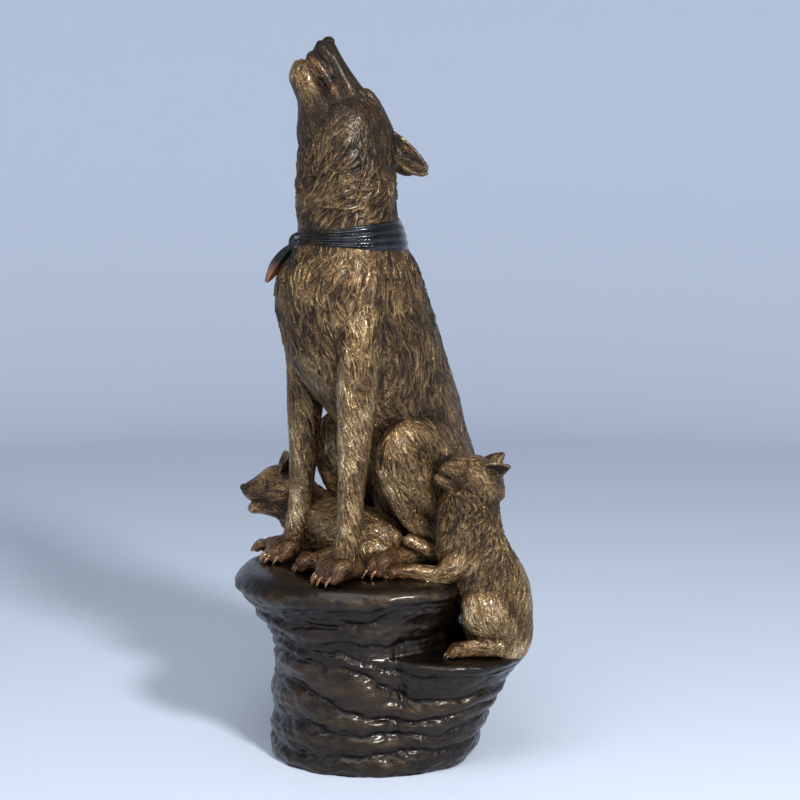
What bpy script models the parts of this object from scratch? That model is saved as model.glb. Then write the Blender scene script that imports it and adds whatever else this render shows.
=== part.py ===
"""A cast bronze group: a howling wolf with a neckerchief sits on a rock with one cub lying between its
forelegs and a second cub sitting on a lower ledge. It is one casting, so it is one solid.

Metres, +Z up. The origin is the centre of the rock's flat underside. -Y is the display side, and the wolf
looks towards -X and a little towards -Y. GROUP_HEIGHT sizes the whole group. The other sizes are written in
millimetres at a height of 1508 mm, as multiples of MM, and the tables of sections are read the same way."""

import math

import bpy
import numpy as np

GROUP_HEIGHT = 1.508
MM = GROUP_HEIGHT / 1508

# Rock
ROCK_TOP = 400 * MM
LEDGE_TOP = 244 * MM

# Wolf
WOLF_SPOT = (-20 * MM, 28 * MM)
WOLF_HEADING = math.radians(215)
HEAD_HEADING = math.radians(192)
HEAD_RAISE = math.radians(56.6)
HEAD_HEIGHT = 999 * MM
LEG_SPACING = 216 * MM
LEFT_FORELEG_LEAD = 7 * MM
WOLF_TOE_RADIUS = 16.5 * MM
WOLF_EAR_LENGTH = 65 * MM
WOLF_EAR_WIDTH = 70 * MM
WOLF_EYE_RADIUS = 12 * MM
EAR_WALL = 11 * MM
TAIL_RADIUS = 34 * MM

# Neckerchief
SCARF_HEIGHT = 700 * MM
SCARF_FRONT_WIDTH = 30 * MM
SCARF_BACK_WIDTH = 68 * MM
SCARF_WALL = 12 * MM
SCARF_FOLDS = 4
SCARF_FOLD_DEPTH = 4 * MM
KNOT_RADIUS = 19 * MM
SCARF_TAIL_LENGTH = 104 * MM
SCARF_TAIL_WIDTH = 36 * MM
KNOT_BEARING = math.radians(200)

# Cubs
LYING_CUB_HEAD = (-202 * MM, 132 * MM, 142 * MM)
LYING_CUB_HEADING = math.radians(184)
LYING_CUB_RAISE = math.radians(-9)
SITTING_CUB_HEAD = (211 * MM, -95 * MM, 358 * MM)
SITTING_CUB_HEADING = math.radians(180)
SITTING_CUB_RAISE = math.radians(24)
CUB_EAR_LENGTH = 36 * MM
CUB_EAR_WIDTH = 38 * MM
CUB_TOE_RADIUS = 8.5 * MM
CUB_EYE_RADIUS = 6 * MM

# Meshing
MESH_CELL = 6.5 * MM
FACE_SHARE = 0.066

UP = np.array((0.0, 0.0, 1.0))


def unit(vector):
    vector = np.asarray(vector, float)
    return vector / np.linalg.norm(vector)


def heading(angle):
    """The level direction that lies at this angle from +X."""
    return np.array((math.cos(angle), math.sin(angle), 0.0))


def smooth_path(rows, spacing):
    """A Catmull-Rom curve through the rows, sampled about every spacing along its first three columns."""
    rows = np.asarray(rows, float)
    padded = np.vstack((2 * rows[0] - rows[1], rows, 2 * rows[-1] - rows[-2]))
    samples = []
    for before, start, end, after in zip(padded, padded[1:], padded[2:], padded[3:]):
        count = max(2, int(np.linalg.norm(end[:3] - start[:3]) / spacing))
        t = (np.arange(count) / count)[:, None]
        samples.append(
            0.5 * (2 * start + (end - before) * t
                   + (2 * before - 5 * start + 4 * end - after) * t**2
                   + (3 * start - before - 3 * end + after) * t**3)
        )
    return np.vstack(samples + [rows[-1:]])


def grid_faces(rings, sides):
    """Quads between neighbouring rings, and one fan to a pole at each end."""
    ring, side = np.meshgrid(np.arange(rings - 1), np.arange(sides), indexing="ij")
    here = ring * sides + side
    beside = ring * sides + (side + 1) % sides
    faces = np.stack((here, beside, beside + sides, here + sides), -1).reshape(-1, 4).tolist()
    first_pole, last_pole, last = rings * sides, rings * sides + 1, (rings - 1) * sides
    for k in range(sides):
        after = (k + 1) % sides
        faces.append([first_pole, after, k])
        faces.append([last_pole, last + k, last + after])
    return faces


def outward(points, faces):
    """The faces turned so that the closed surface has a positive volume."""
    fans = np.array([(f[0], f[i], f[i + 1]) for f in faces for i in range(1, len(f) - 1)])
    a, b, c = points[fans[:, 0]], points[fans[:, 1]], points[fans[:, 2]]
    if np.einsum("ij,ij->i", a, np.cross(b, c)).sum() < 0:
        faces = [face[::-1] for face in faces]
    return points, faces


def loft(rows, side, normal=None, sides=20, spacing=14 * MM, square=2.0):
    """A closed body along a path. Each row is a centre, the half-width along side and the half-width across
    it. Rings stand square to the path, or to normal where it is given. A higher square gives boxier rings."""
    path = smooth_path(rows, spacing)
    centres, half_side, half_across = path[:, :3], path[:, 3], path[:, 4]
    run = np.gradient(centres, axis=0) if normal is None else np.tile(normal, (len(path), 1))
    run /= np.linalg.norm(run, axis=1)[:, None]
    u = side - (run @ side)[:, None] * run
    u /= np.linalg.norm(u, axis=1)[:, None]
    v = np.cross(run, u)
    angle = np.linspace(0, 2 * math.pi, sides, endpoint=False)
    cosine = np.sign(np.cos(angle)) * np.abs(np.cos(angle)) ** (2 / square)
    sine = np.sign(np.sin(angle)) * np.abs(np.sin(angle)) ** (2 / square)
    rings = (
        centres[:, None]
        + (half_side[:, None] * cosine)[..., None] * u[:, None]
        + (half_across[:, None] * sine)[..., None] * v[:, None]
    )
    bulge = 0.6 * np.minimum(half_side, half_across)[[0, -1]]
    poles = (centres[0] - bulge[0] * run[0], centres[-1] + bulge[1] * run[-1])
    points = np.vstack((rings.reshape(-1, 3), poles))
    return outward(points, grid_faces(len(rings), sides))


def ball(centre, radii, axes):
    """An ellipsoid as a loft of five rings along the first of its axes."""
    rows = []
    for share in (-0.92, -0.6, 0.0, 0.6, 0.92):
        ring = math.sqrt(1 - share**2)
        rows.append((*(centre + share * radii[0] * axes[0]), ring * radii[1], ring * radii[2]))
    return loft(rows, axes[1], normal=axes[0], sides=16, spacing=radii[0] / 3)


def shell_sheet(grid, thickness):
    """A closed body from a grid of points, thickened to both sides by half its thickness at each point."""
    along, across = np.gradient(grid, axis=0), np.gradient(grid, axis=1)
    normal = np.cross(along, across)
    normal /= np.linalg.norm(normal, axis=2)[..., None] + 1e-12
    offset = 0.5 * np.asarray(thickness)[..., None] * normal
    rings = np.concatenate((grid + offset, (grid - offset)[:, ::-1]), axis=1)
    poles = (rings[0].mean(axis=0), rings[-1].mean(axis=0))
    points = np.vstack((rings.reshape(-1, 3), poles))
    return outward(points, grid_faces(rings.shape[0], rings.shape[1]))


def ear(base, along, across, face, length, width, wall, cup=0.34):
    """A pointed leaf, widest near its base and cupped towards face, with a blunt tip."""
    along, across, face = unit(along), unit(across), unit(face)
    v = np.linspace(-0.25, 1, 9)[:, None]
    u = np.linspace(-1, 1, 9)[None]
    half = 0.5 * width * np.sqrt(np.clip(1 - np.clip(v, 0, 1) ** 1.7, 0.02, 1))
    sink = cup * width * (u**2 - 0.5) * (1 - 0.6 * np.clip(v, 0, 1))
    grid = (base + (length * v)[..., None] * along + (half * u)[..., None] * across
            + sink[..., None] * face)
    return shell_sheet(grid, wall * (1 - 0.35 * u**2) * np.ones_like(v))


def paw(heel, ahead, across, width, height, toe):
    """A palm and four arched toes, from the heel on the ground, the way ahead and the sizes."""
    def at(share, side, rise):
        return heel + share * ahead + side * across + rise * height * UP

    palm = [(*at(0, 0, 0.30), 0.34 * width, 0.30 * height), (*at(0.25, 0, 0.50), 0.42 * width, 0.50 * height),
            (*at(0.60, 0, 0.46), 0.45 * width, 0.44 * height)]
    bodies = [loft(palm, across, sides=14, spacing=10 * MM)]
    for share, reach in ((-0.38, 0.90), (-0.13, 1.0), (0.13, 1.0), (0.38, 0.90)):
        side = share * width
        rows = [
            (*at(0.45, 0.8 * side, 0.62), toe, toe), (*at(0.68, side, 0.62), 1.08 * toe, 1.05 * toe),
            (*at(reach - 0.14, side, 0.40), toe, 1.05 * toe), (*at(reach, side, 0.20), 0.62 * toe, 0.62 * toe),
        ]
        bodies.append(loft(rows, across, sides=10, spacing=8 * MM))
    return bodies


# The wolf's frame: forward, left and up from its spot on the rock's top.
WOLF_FORWARD = heading(WOLF_HEADING)
WOLF_LEFT = np.cross(UP, WOLF_FORWARD)


def wolf_point(forward, left, height):
    """A point of the wolf in the world, from millimetres ahead of its spot, to its left and above the rock."""
    spot = np.array((*WOLF_SPOT, ROCK_TOP))
    return spot + MM * (forward * WOLF_FORWARD + left * WOLF_LEFT + height * UP)


def wolf_rows(rows, mirror=1):
    return [(*wolf_point(f, mirror * s, z), MM * a, MM * b) for f, s, z, a, b in rows]


# Level sections of trunk and neck: forward, left, height, half-length and half-width.
TRUNK = (
    (-172, 0, -8, 88, 92), (-180, 0, 40, 112, 116), (-176, 0, 90, 119, 124), (-163, 0, 160, 122, 124),
    (-142, 0, 231, 125, 122), (-107, 0, 285, 140, 122), (-71, 0, 349, 160, 126), (-18, 0, 436, 176, 139),
    (-2, 0, 480, 174, 143), (14, 0, 531, 171, 144), (26, 0, 575, 167, 141), (32, 0, 626, 152, 133),
    (29, 0, 668, 126, 118), (31, 0, 705, 109, 105), (35, 0, 743, 105, 100), (37, 0, 784, 106, 101),
    (38, 0, 825, 104, 98), (39, 0, 870, 101, 94), (37, 0, 915, 92, 86), (33, 0, 955, 78, 74),
    (26, 0, 985, 52, 50),
)

# Foreleg from shoulder blade to pastern: forward, out, height, half-width out, half-width along.
FORELEG = (
    (-20, 84, 620, 24, 40), (15, 98, 590, 34, 50), (52, 102, 540, 41, 56), (68, 104, 480, 41, 52),
    (76, 107, 415, 39, 46), (80, 109, 350, 37, 41), (84, 108, 300, 34, 37), (87, 107, 240, 30, 32),
    (92, 107, 180, 27, 28), (97, 108, 120, 25, 26), (103, 109, 72, 26, 27), (111, 110, 42, 28, 27),
)

# Haunch, square to the wolf's length: forward, out, height, half-height, half-width.
HAUNCH = (
    (39, 122, 246, 15, 12), (33, 122, 244, 36, 25), (20, 122, 241, 58, 36), (-2, 120, 234, 82, 46),
    (-30, 115, 224, 103, 55),
    (-71, 108, 210, 121, 62), (-130, 97, 188, 127, 65), (-187, 86, 163, 112, 61), (-232, 74, 138, 76, 47),
    (-252, 68, 128, 36, 26),
)

# Shin from knee to hock, then the long hind foot: forward, out, height, half-width, half-depth.
SHIN = ((10, 122, 232, 28, 36), (-12, 124, 170, 27, 32), (-54, 122, 108, 25, 28), (-104, 117, 68, 26, 27))
HIND_FOOT = ((-122, 114, 56, 22, 24), (-80, 112, 38, 23, 22), (-38, 110, 32, 26, 24), (-8, 109, 30, 30, 24))

# Tail on the rock, round the side away from the viewer.
TAIL = ((-250, 0, 62, 0.7), (-292, -24, 34, 0.95), (-282, -95, 26, 1.15), (-225, -152, 26, 1.2),
        (-150, -176, 24, 1.0), (-92, -182, 20, 0.55))

# The head's sections along the line from nape to nose: along, down, half-height, half-width.
SKULL = (
    (-158, 68, 52, 58), (-125, 64, 62, 71), (-90, 60, 67, 77), (-55, 54, 65, 75), (-27, 45, 57, 66),
    (0, 41, 41, 52), (30, 34, 31, 43), (60, 29, 25, 37), (90, 25, 22, 33), (112, 27, 25, 28),
    (126, 29, 21, 21),
)
CHEEK = ((-70, 88, 60, 72), (-20, 80, 50, 64), (20, 66, 36, 50), (44, 58, 23, 40), (57, 55, 10, 30))
TONGUE = ((0, 60, 18, 42), (50, 58, 19, 35), (72, 57, 18, 30), (98, 57, 18, 26), (114, 58, 13, 19))
JAW = (
    (-80, 116, 70, 72), (-34, 114, 66, 68), (0, 110, 58, 60), (29, 104, 42, 50), (52, 100, 31, 42),
    (75, 96, 29, 36), (98, 94, 27, 31), (112, 91, 21, 25), (121, 89, 11, 13),
)


def wolf_head_frame():
    """The head's origin at the stop of the brow, and its directions: along the nose, down and left."""
    ahead = heading(HEAD_HEADING)
    left = np.cross(UP, ahead)
    along = math.cos(HEAD_RAISE) * ahead + math.sin(HEAD_RAISE) * UP
    down = math.sin(HEAD_RAISE) * ahead - math.cos(HEAD_RAISE) * UP
    neck = wolf_point(36, 0, 0)
    origin = np.array((neck[0], neck[1], ROCK_TOP + HEAD_HEIGHT)) - 37 * MM * ahead
    return origin, along, down, left


def head_rows(rows, origin, along, down, scale=1.0):
    return [
        (*(origin + scale * MM * (a * along + d * down)), scale * MM * width, scale * MM * height)
        for a, d, height, width in rows
    ]


def wolf_head():
    origin, along, down, left = wolf_head_frame()
    axes = (along, left, down)

    def at(a, d, w):
        return origin + MM * (a * along + d * down + w * left)

    bodies = [
        loft(head_rows(SKULL, origin, along, down), left, normal=along, sides=24, spacing=10 * MM),
        loft(head_rows(JAW, origin, along, down), left, normal=along, sides=20, spacing=10 * MM, square=2.3),
        loft(head_rows(CHEEK, origin, along, down), left, normal=along, sides=20, spacing=10 * MM),
        loft(head_rows(TONGUE, origin, along, down), left, normal=along, sides=14, spacing=10 * MM),
        ball(at(116, 54, 0), (9 * MM, 15 * MM, 13 * MM), axes),
        ball(at(124, 9, 0), (11 * MM, 15 * MM, 12 * MM), axes),
    ]
    for side in (1, -1):
        eye = WOLF_EYE_RADIUS
        bodies.append(ball(at(-6, 19, side * 45), (1.5 * eye, eye, eye), axes))
        bodies.append(ball(at(-22, 2, side * 34), (26 * MM, 20 * MM, 13 * MM), axes))
        bodies.append(ball(at(98, 30, side * 19), (28 * MM, 15 * MM, 15 * MM), axes))
        bodies.append(
            ear(at(-146, 14, side * 48), -0.90 * along - 0.36 * down + side * 0.22 * left,
                0.84 * along - 0.50 * down - side * 0.25 * left, side * left + 0.3 * along,
                WOLF_EAR_LENGTH, WOLF_EAR_WIDTH, EAR_WALL)
        )
    return bodies


def wolf_body():
    rows = [(*wolf_point(f, s, z), MM * a, MM * b) for f, s, z, a, b in TRUNK]
    bodies = [loft(rows, WOLF_FORWARD, normal=UP, sides=32, spacing=18 * MM)]
    spread = LEG_SPACING / (216 * MM)
    for side in (1, -1):
        lead = side * LEFT_FORELEG_LEAD / MM
        legs = [(f + lead * min(1, (640 - z) / 300), spread * s, z, a, b) for f, s, z, a, b in FORELEG]
        bodies.append(loft(wolf_rows(legs, side), WOLF_LEFT, sides=18))
        haunch = [(*wolf_point(f, side * s, z), MM * b, MM * a) for f, s, z, a, b in HAUNCH]
        bodies.append(loft(haunch, WOLF_LEFT, normal=WOLF_FORWARD, sides=24))
        bodies.append(loft(wolf_rows(SHIN, side), WOLF_LEFT, sides=14))
        bodies.append(loft(wolf_rows(HIND_FOOT, side), WOLF_LEFT, sides=14))
        for heel, width in ((76 + lead, 68), (-28, 70)):
            ahead = 96 * MM * (WOLF_FORWARD + side * 0.06 * WOLF_LEFT)
            bodies += paw(wolf_point(heel, side * LEG_SPACING / (2 * MM), -2), ahead, WOLF_LEFT, MM * width,
                          58 * MM, WOLF_TOE_RADIUS)
    tail = [(*wolf_point(f, s, z), r * TAIL_RADIUS, r * 0.8 * TAIL_RADIUS) for f, s, z, r in TAIL]
    bodies.append(loft(tail, UP + 0.01 * WOLF_FORWARD, sides=14))
    return bodies


def scarf():
    """A band round the neck, narrow at the knot and wide at the nape, with folds that run to the knot."""
    knot_side = heading(KNOT_BEARING)
    nape_side = np.cross(UP, knot_side)
    centre = wolf_point(30, 0, 0) + SCARF_HEIGHT * UP
    turn = np.linspace(0, 2 * math.pi, 48, endpoint=False)[:, None]
    round_ = np.linspace(0, 2 * math.pi, 20, endpoint=False)[None]
    widen = 0.5 - 0.5 * np.cos(turn)
    half = 0.5 * (SCARF_FRONT_WIDTH + (SCARF_BACK_WIDTH - SCARF_FRONT_WIDTH) * widen**0.7)
    rise = half * np.sin(round_)
    fold = SCARF_FOLD_DEPTH * np.cos(SCARF_FOLDS * math.pi * np.sin(round_)) * (np.cos(round_) > 0)
    radius = 108 * MM + 3 * MM * widen - 0.26 * rise + 0.6 * SCARF_WALL * np.cos(round_) + fold
    lift = rise - 4 * MM + 6 * MM * widen
    level = np.cos(turn)[..., None] * knot_side + np.sin(turn)[..., None] * nape_side
    points = centre + radius[..., None] * level + lift[..., None] * UP
    loops, sides = points.shape[:2]
    loop, side = np.meshgrid(np.arange(loops), np.arange(sides), indexing="ij")
    after, beside = (loop + 1) % loops, (side + 1) % sides
    faces = np.stack(
        (loop * sides + side, loop * sides + beside, after * sides + beside, after * sides + side), -1
    )
    band = outward(points.reshape(-1, 3), faces.reshape(-1, 4).tolist())

    knot = centre + 115 * MM * knot_side - 12 * MM * UP
    knot_axes = (UP, nape_side, knot_side)
    bodies = [band, ball(knot, (KNOT_RADIUS, 0.85 * KNOT_RADIUS, 0.9 * KNOT_RADIUS), knot_axes)]
    for along, twist in (
        (0.60 * knot_side - 0.80 * UP - 0.16 * nape_side, nape_side + 0.3 * knot_side),
        (0.16 * knot_side - 0.74 * UP + 0.66 * nape_side, nape_side + 0.6 * UP),
    ):
        along = unit(along)
        across = unit(twist - (twist @ along) * along)
        v = np.linspace(0, 1, 9)[:, None]
        u = np.linspace(-1, 1, 7)[None]
        half = 0.5 * SCARF_TAIL_WIDTH * np.sin(math.pi * np.clip(v, 0.10, 0.97)) ** 0.7
        crease = 0.25 * SCARF_TAIL_WIDTH * np.abs(u) * np.sin(math.pi * v)
        grid = (knot + (SCARF_TAIL_LENGTH * v)[..., None] * along + (half * u)[..., None] * across
                + crease[..., None] * np.cross(along, across))
        bodies.append(shell_sheet(grid, 0.9 * SCARF_WALL * np.ones_like(v * u)))
    return bodies


# A cub's head along the line from nape to nose: along, down, half-height, half-width.
CUB_SKULL = ((-56, 4, 30, 34), (-42, 2, 46, 49), (-15, 0, 52, 56), (10, -2, 47, 52), (26, -4, 38, 44),
             (40, -6, 30, 34), (56, -6, 24, 28), (70, -6, 21, 24), (79, -7, 15, 17))
CUB_JAW = ((-24, 26, 42, 50), (12, 30, 32, 40), (36, 29, 22, 29), (54, 28, 15, 21), (67, 28, 13, 17),
           (74, 28, 9, 11))


def cub_head(origin, ahead_angle, raise_angle, ear_leans, gape):
    ahead = heading(ahead_angle)
    left = np.cross(UP, ahead)
    along = math.cos(raise_angle) * ahead + math.sin(raise_angle) * UP
    down = math.sin(raise_angle) * ahead - math.cos(raise_angle) * UP
    axes = (along, left, down)

    def at(a, d, w):
        return origin + MM * (a * along + d * down + w * left)

    bodies = [
        loft(head_rows(CUB_SKULL, origin, along, down), left, normal=along, sides=18, spacing=8 * MM),
        loft(head_rows([(a, d + gape * max(0, a + 24) / 90, h, w) for a, d, h, w in CUB_JAW], origin, along, down),
             left, normal=along, sides=14, spacing=8 * MM),
        ball(at(80, -17, 0), (9 * MM, 11 * MM, 8 * MM), axes),
    ]
    for side, lean in zip((1, -1), ear_leans):
        eye = CUB_EYE_RADIUS
        bodies.append(ball(at(33, -16, side * 26), (1.4 * eye, eye, eye), axes))
        bodies.append(
            ear(at(-24, -36, side * 30), lean[0] * along + lean[1] * down + side * lean[2] * left,
                lean[1] * along - lean[0] * down - side * 0.35 * left, side * left + 0.35 * along,
                CUB_EAR_LENGTH, CUB_EAR_WIDTH, 0.85 * EAR_WALL)
        )
    return bodies


def limb(rows, ground, side, sides=12, spacing=10 * MM):
    """A limb from rows of X, Y, height above its ground and two half-widths, in millimetres."""
    return loft([(MM * x, MM * y, ground + MM * z, MM * a, MM * b) for x, y, z, a, b in rows],
                np.asarray(side, float), sides=sides, spacing=spacing)


def lying_cub():
    ground = ROCK_TOP
    across = (0.42, -0.90, 0.0)
    bodies = [
        limb(((52, -32, 40, 22, 24), (30, -20, 58, 48, 46), (-10, 0, 68, 60, 58), (-60, 40, 70, 60, 62),
              (-105, 88, 78, 56, 62), (-142, 122, 94, 54, 60), (-170, 132, 112, 52, 58),
              (-194, 130, 124, 44, 46)), ground, across, sides=20),
        limb(((6, -50, 66, 20, 32), (12, -56, 46, 26, 42), (22, -52, 34, 22, 34)), ground, across, sides=14),
        limb(((34, -62, 20, 14, 16), (0, -76, 14, 15, 14), (-22, -80, 13, 15, 13)), ground, across),
        limb(((-72, 14, 64, 24, 32), (-58, -16, 40, 21, 24), (-92, -34, 26, 22, 21),
              (-126, -40, 18, 24, 17)), ground, across),
        limb(((-148, 130, 60, 22, 30), (-160, 152, 34, 19, 20), (-196, 152, 20, 16, 16),
              (-232, 146, 16, 16, 14)), ground, across),
        limb(((56, -24, 40, 14, 14), (84, -2, 22, 15, 15), (96, 38, 16, 14, 14), (84, 72, 14, 8, 8)),
             ground, (0, 0, 1)),
    ]
    for heel, ahead, scale in (((-106, -42), (-50, -6), 1.45), ((-14, -80), (-36, -2), 1.0),
                               ((-222, 142), (-40, -3), 1.0)):
        bodies += paw(np.array((MM * heel[0], MM * heel[1], ground)), MM * np.array((*ahead, 0)),
                      np.array((0.0, -1.0, 0.0)), scale * 40 * MM, scale * 27 * MM, scale * CUB_TOE_RADIUS)
    head = np.array(LYING_CUB_HEAD) + ground * UP
    return bodies + cub_head(head, LYING_CUB_HEADING, LYING_CUB_RAISE, ((-0.2, -1, 0.2), (0.0, -1, 0.2)), 4)


def sitting_cub():
    seat, shelf = LEDGE_TOP, ROCK_TOP
    across = (0.0, -1.0, 0.0)
    trunk = ((268, -92, -6, 58, 58), (266, -92, 30, 70, 64), (262, -92, 74, 74, 66), (256, -92, 112, 78, 64),
             (240, -92, 154, 85, 62), (221, -92, 194, 84, 62), (210, -92, 226, 75, 61), (205, -92, 258, 67, 60),
             (203, -93, 290, 62, 59), (203, -94, 316, 60, 57), (206, -95, 342, 54, 52))
    rows = [(MM * x, MM * y, seat + MM * z, MM * a, MM * b) for x, y, z, a, b in trunk]
    bodies = [loft(rows, np.array((1.0, 0.0, 0.0)), normal=UP, sides=22, spacing=0.014)]
    for side in (1, -1):
        haunch = ((186, 50, 92, 20, 16), (198, 52, 94, 40, 28), (232, 50, 88, 54, 38), (268, 44, 76, 52, 38),
                  (302, 34, 62, 34, 28))
        rows = [(MM * x, MM * (-92 - side * y), seat + MM * z, MM * b, MM * a) for x, y, z, a, b in haunch]
        bodies.append(loft(rows, np.array((0.0, -1.0, 0.0)), normal=np.array((-1.0, 0.0, 0.0)), sides=16))
        foot = ((270, 62, 22, 18, 20), (222, 66, 22, 18, 19), (184, 68, 18, 18, 16))
        bodies.append(limb([(x, -92 - side * y, z, a, b) for x, y, z, a, b in foot], seat, across))
        bodies += paw(np.array((MM * 204, MM * (-92 - side * 68), seat)), np.array((-46 * MM, 0, 0)),
                      np.array((0.0, -1.0, 0.0)), 44 * MM, 34 * MM, CUB_TOE_RADIUS)
    bodies += [
        limb(((206, -120, 62, 26, 34), (176, -134, 34, 24, 28), (142, -128, 10, 20, 22), (98, -120, 14, 18, 18),
              (62, -116, 14, 18, 16)), shelf, (0, -1, 0)),
        limb(((200, -66, 66, 24, 30), (164, -62, 36, 19, 22), (130, -62, 42, 16, 17), (98, -62, 60, 15, 15),
              (74, -62, 72, 15, 13)), shelf, (0, -1, 0)),
        limb(((312, -70, 22, 16, 18), (324, -42, 16, 15, 15), (314, -8, 14, 13, 13), (288, 10, 13, 8, 8)),
             seat, (0, 0, 1)),
    ]
    bodies += paw(np.array((MM * 74, MM * -116, shelf)), np.array((-40 * MM, 0, 0)),
                  np.array((0.0, -1.0, 0.0)), 42 * MM, 28 * MM, CUB_TOE_RADIUS)
    head = np.array(SITTING_CUB_HEAD) + seat * UP
    return bodies + cub_head(head, SITTING_CUB_HEADING, SITTING_CUB_RAISE,
                             ((-0.68, -0.68, 0.3), (-0.35, -0.9, 0.2)), -3)


# Level rings of the rock: height, then the radius at each of the bearings, in degrees from +X.
BEARINGS = (0, 20, 45, 70, 90, 115, 140, 160, 180, 200, 225, 250, 270, 285, 300, 315, 330, 345)
ROCK_RINGS = (
    (-20, 208, 204, 200, 198, 198, 200, 204, 206, 208, 206, 200, 194, 190, 190, 196, 203, 209, 210),
    (0, 209, 205, 201, 199, 199, 201, 205, 207, 210, 207, 201, 195, 191, 191, 197, 204, 210, 211),
    (28, 224, 214, 206, 203, 202, 204, 208, 211, 214, 211, 204, 197, 192, 191, 203, 214, 223, 226),
    (66, 236, 224, 212, 206, 204, 205, 207, 209, 211, 208, 202, 195, 189, 187, 206, 222, 235, 240),
    (112, 248, 232, 216, 209, 206, 205, 206, 207, 208, 205, 200, 194, 188, 184, 209, 232, 248, 256),
    (158, 264, 244, 224, 213, 209, 206, 205, 205, 206, 203, 199, 194, 189, 184, 214, 247, 270, 280),
    (200, 284, 256, 232, 218, 212, 206, 203, 200, 198, 198, 197, 194, 190, 186, 224, 266, 292, 304),
    (220, 312, 272, 240, 223, 215, 208, 205, 203, 202, 201, 199, 195, 191, 190, 240, 288, 320, 328),
    (236, 318, 278, 245, 227, 219, 212, 208, 206, 205, 203, 200, 196, 192, 192, 244, 292, 326, 334),
    (246, 290, 266, 247, 230, 222, 214, 210, 208, 207, 205, 201, 196, 191, 188, 222, 262, 292, 302),
    (250, 226, 244, 249, 233, 225, 217, 213, 211, 209, 206, 202, 195, 188, 182, 186, 190, 200, 212),
    (270, 210, 238, 258, 243, 233, 225, 221, 222, 222, 216, 207, 196, 187, 180, 180, 182, 190, 200),
    (300, 200, 240, 272, 260, 246, 238, 234, 236, 238, 228, 212, 199, 191, 185, 186, 188, 192, 194),
    (322, 194, 244, 284, 272, 256, 250, 250, 254, 256, 242, 216, 200, 193, 190, 192, 196, 196, 190),
    (345, 190, 256, 300, 288, 270, 266, 268, 275, 277, 262, 232, 213, 206, 206, 210, 214, 206, 190),
    (368, 188, 264, 308, 298, 280, 278, 282, 288, 285, 270, 242, 220, 211, 212, 218, 224, 216, 194),
    (386, 182, 262, 304, 296, 278, 276, 280, 286, 279, 264, 236, 214, 206, 208, 216, 222, 214, 190),
    (397, 168, 250, 290, 283, 266, 264, 268, 274, 264, 250, 222, 200, 192, 194, 202, 208, 198, 174),
    (401, 130, 210, 250, 244, 228, 226, 230, 236, 226, 212, 184, 162, 154, 156, 164, 170, 160, 136),
)
# Heights of the creases between the beds of stone, one row for each crease, at the same bearings.
CREASES = (
    (50, 48, 44, 42, 40, 38, 38, 38, 38, 38, 38, 41, 44, 44, 58, 48, 54, 54),
    (104, 100, 96, 92, 90, 88, 90, 92, 93, 95, 101, 94, 90, 84, 88, 88, 104, 106),
    (146, 150, 156, 160, 165, 170, 172, 175, 176, 180, 182, 148, 122, 114, 119, 127, 140, 144),
    (178, 190, 205, 215, 222, 228, 232, 235, 236, 237, 241, 231, 204, 177, 165, 159, 168, 172),
    (222, 226, 232, 238, 244, 250, 252, 254, 256, 258, 262, 252, 236, 220, 211, 208, 218, 222),
    (300, 298, 290, 286, 284, 282, 284, 285, 286, 284, 274, 276, 274, 277, 280, 285, 296, 300),
    (345, 342, 335, 328, 322, 318, 316, 315, 314, 312, 309, 312, 328, 345, 350, 350, 347, 346),
    (372, 370, 366, 362, 358, 354, 352, 350, 349, 347, 345, 350, 355, 360, 362, 366, 371, 373),
)
# How far each bed swells between its creases, and how far the whole bed stands out, from the foot up.
BED_SWELL = (12, 13, 14, 16, 9, 8, 10, 8, 12)
BED_STEP = (0, 0, 1, 2, 0, -5, 1, -4, 2)
CLEFT_BEARING = math.radians(288.5)


def around(values, bearing):
    """The values at the bearings, joined by a smooth closed curve and read at these angles."""
    known = np.array([*(b - 360 for b in BEARINGS[-2:]), *BEARINGS, *(b + 360 for b in BEARINGS[:3])], float)
    values = np.concatenate((values[..., -2:], values, values[..., :3]), axis=-1)
    degrees = np.degrees(bearing) % 360
    index = np.searchsorted(known, degrees, side="right")
    before, start, end, after = (values[..., index + k] for k in (-2, -1, 0, 1))
    t = (degrees - known[index - 1]) / (known[index] - known[index - 1])
    return 0.5 * (2 * start + (end - before) * t + (2 * before - 5 * start + 4 * end - after) * t**2
                  + (3 * start - before - 3 * end + after) * t**3)


def beds(bearing, height):
    """How far the beds of stone stand out. At the share t of the way from one crease to the next, a bed stands
    out by its step and its swell times (sqrt(sin(pi t)) - 0.55)."""
    rise = height / (1000 * MM)
    wave = 3 * MM * np.sin(7 * bearing + 20 * rise) + 2 * MM * np.sin(17 * bearing - 31 * rise + 1)
    height = np.clip(height + wave, 0, ROCK_TOP)
    creases = MM * around(np.array(CREASES, float), bearing)
    edges = np.vstack((np.full((1, len(bearing)), -1 * MM), creases, np.full((1, len(bearing)), ROCK_TOP + MM)))
    bed = (height > creases[:, None]).sum(axis=0)
    column = np.broadcast_to(np.arange(len(bearing)), bed.shape)
    low, high = edges[bed, column], edges[bed + 1, column]
    swell = np.sqrt(np.sin(math.pi * np.clip((height - low) / (high - low), 0, 1))) - 0.55
    return MM * (np.array(BED_STEP, float)[bed] + np.array(BED_SWELL, float)[bed] * swell)


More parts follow.
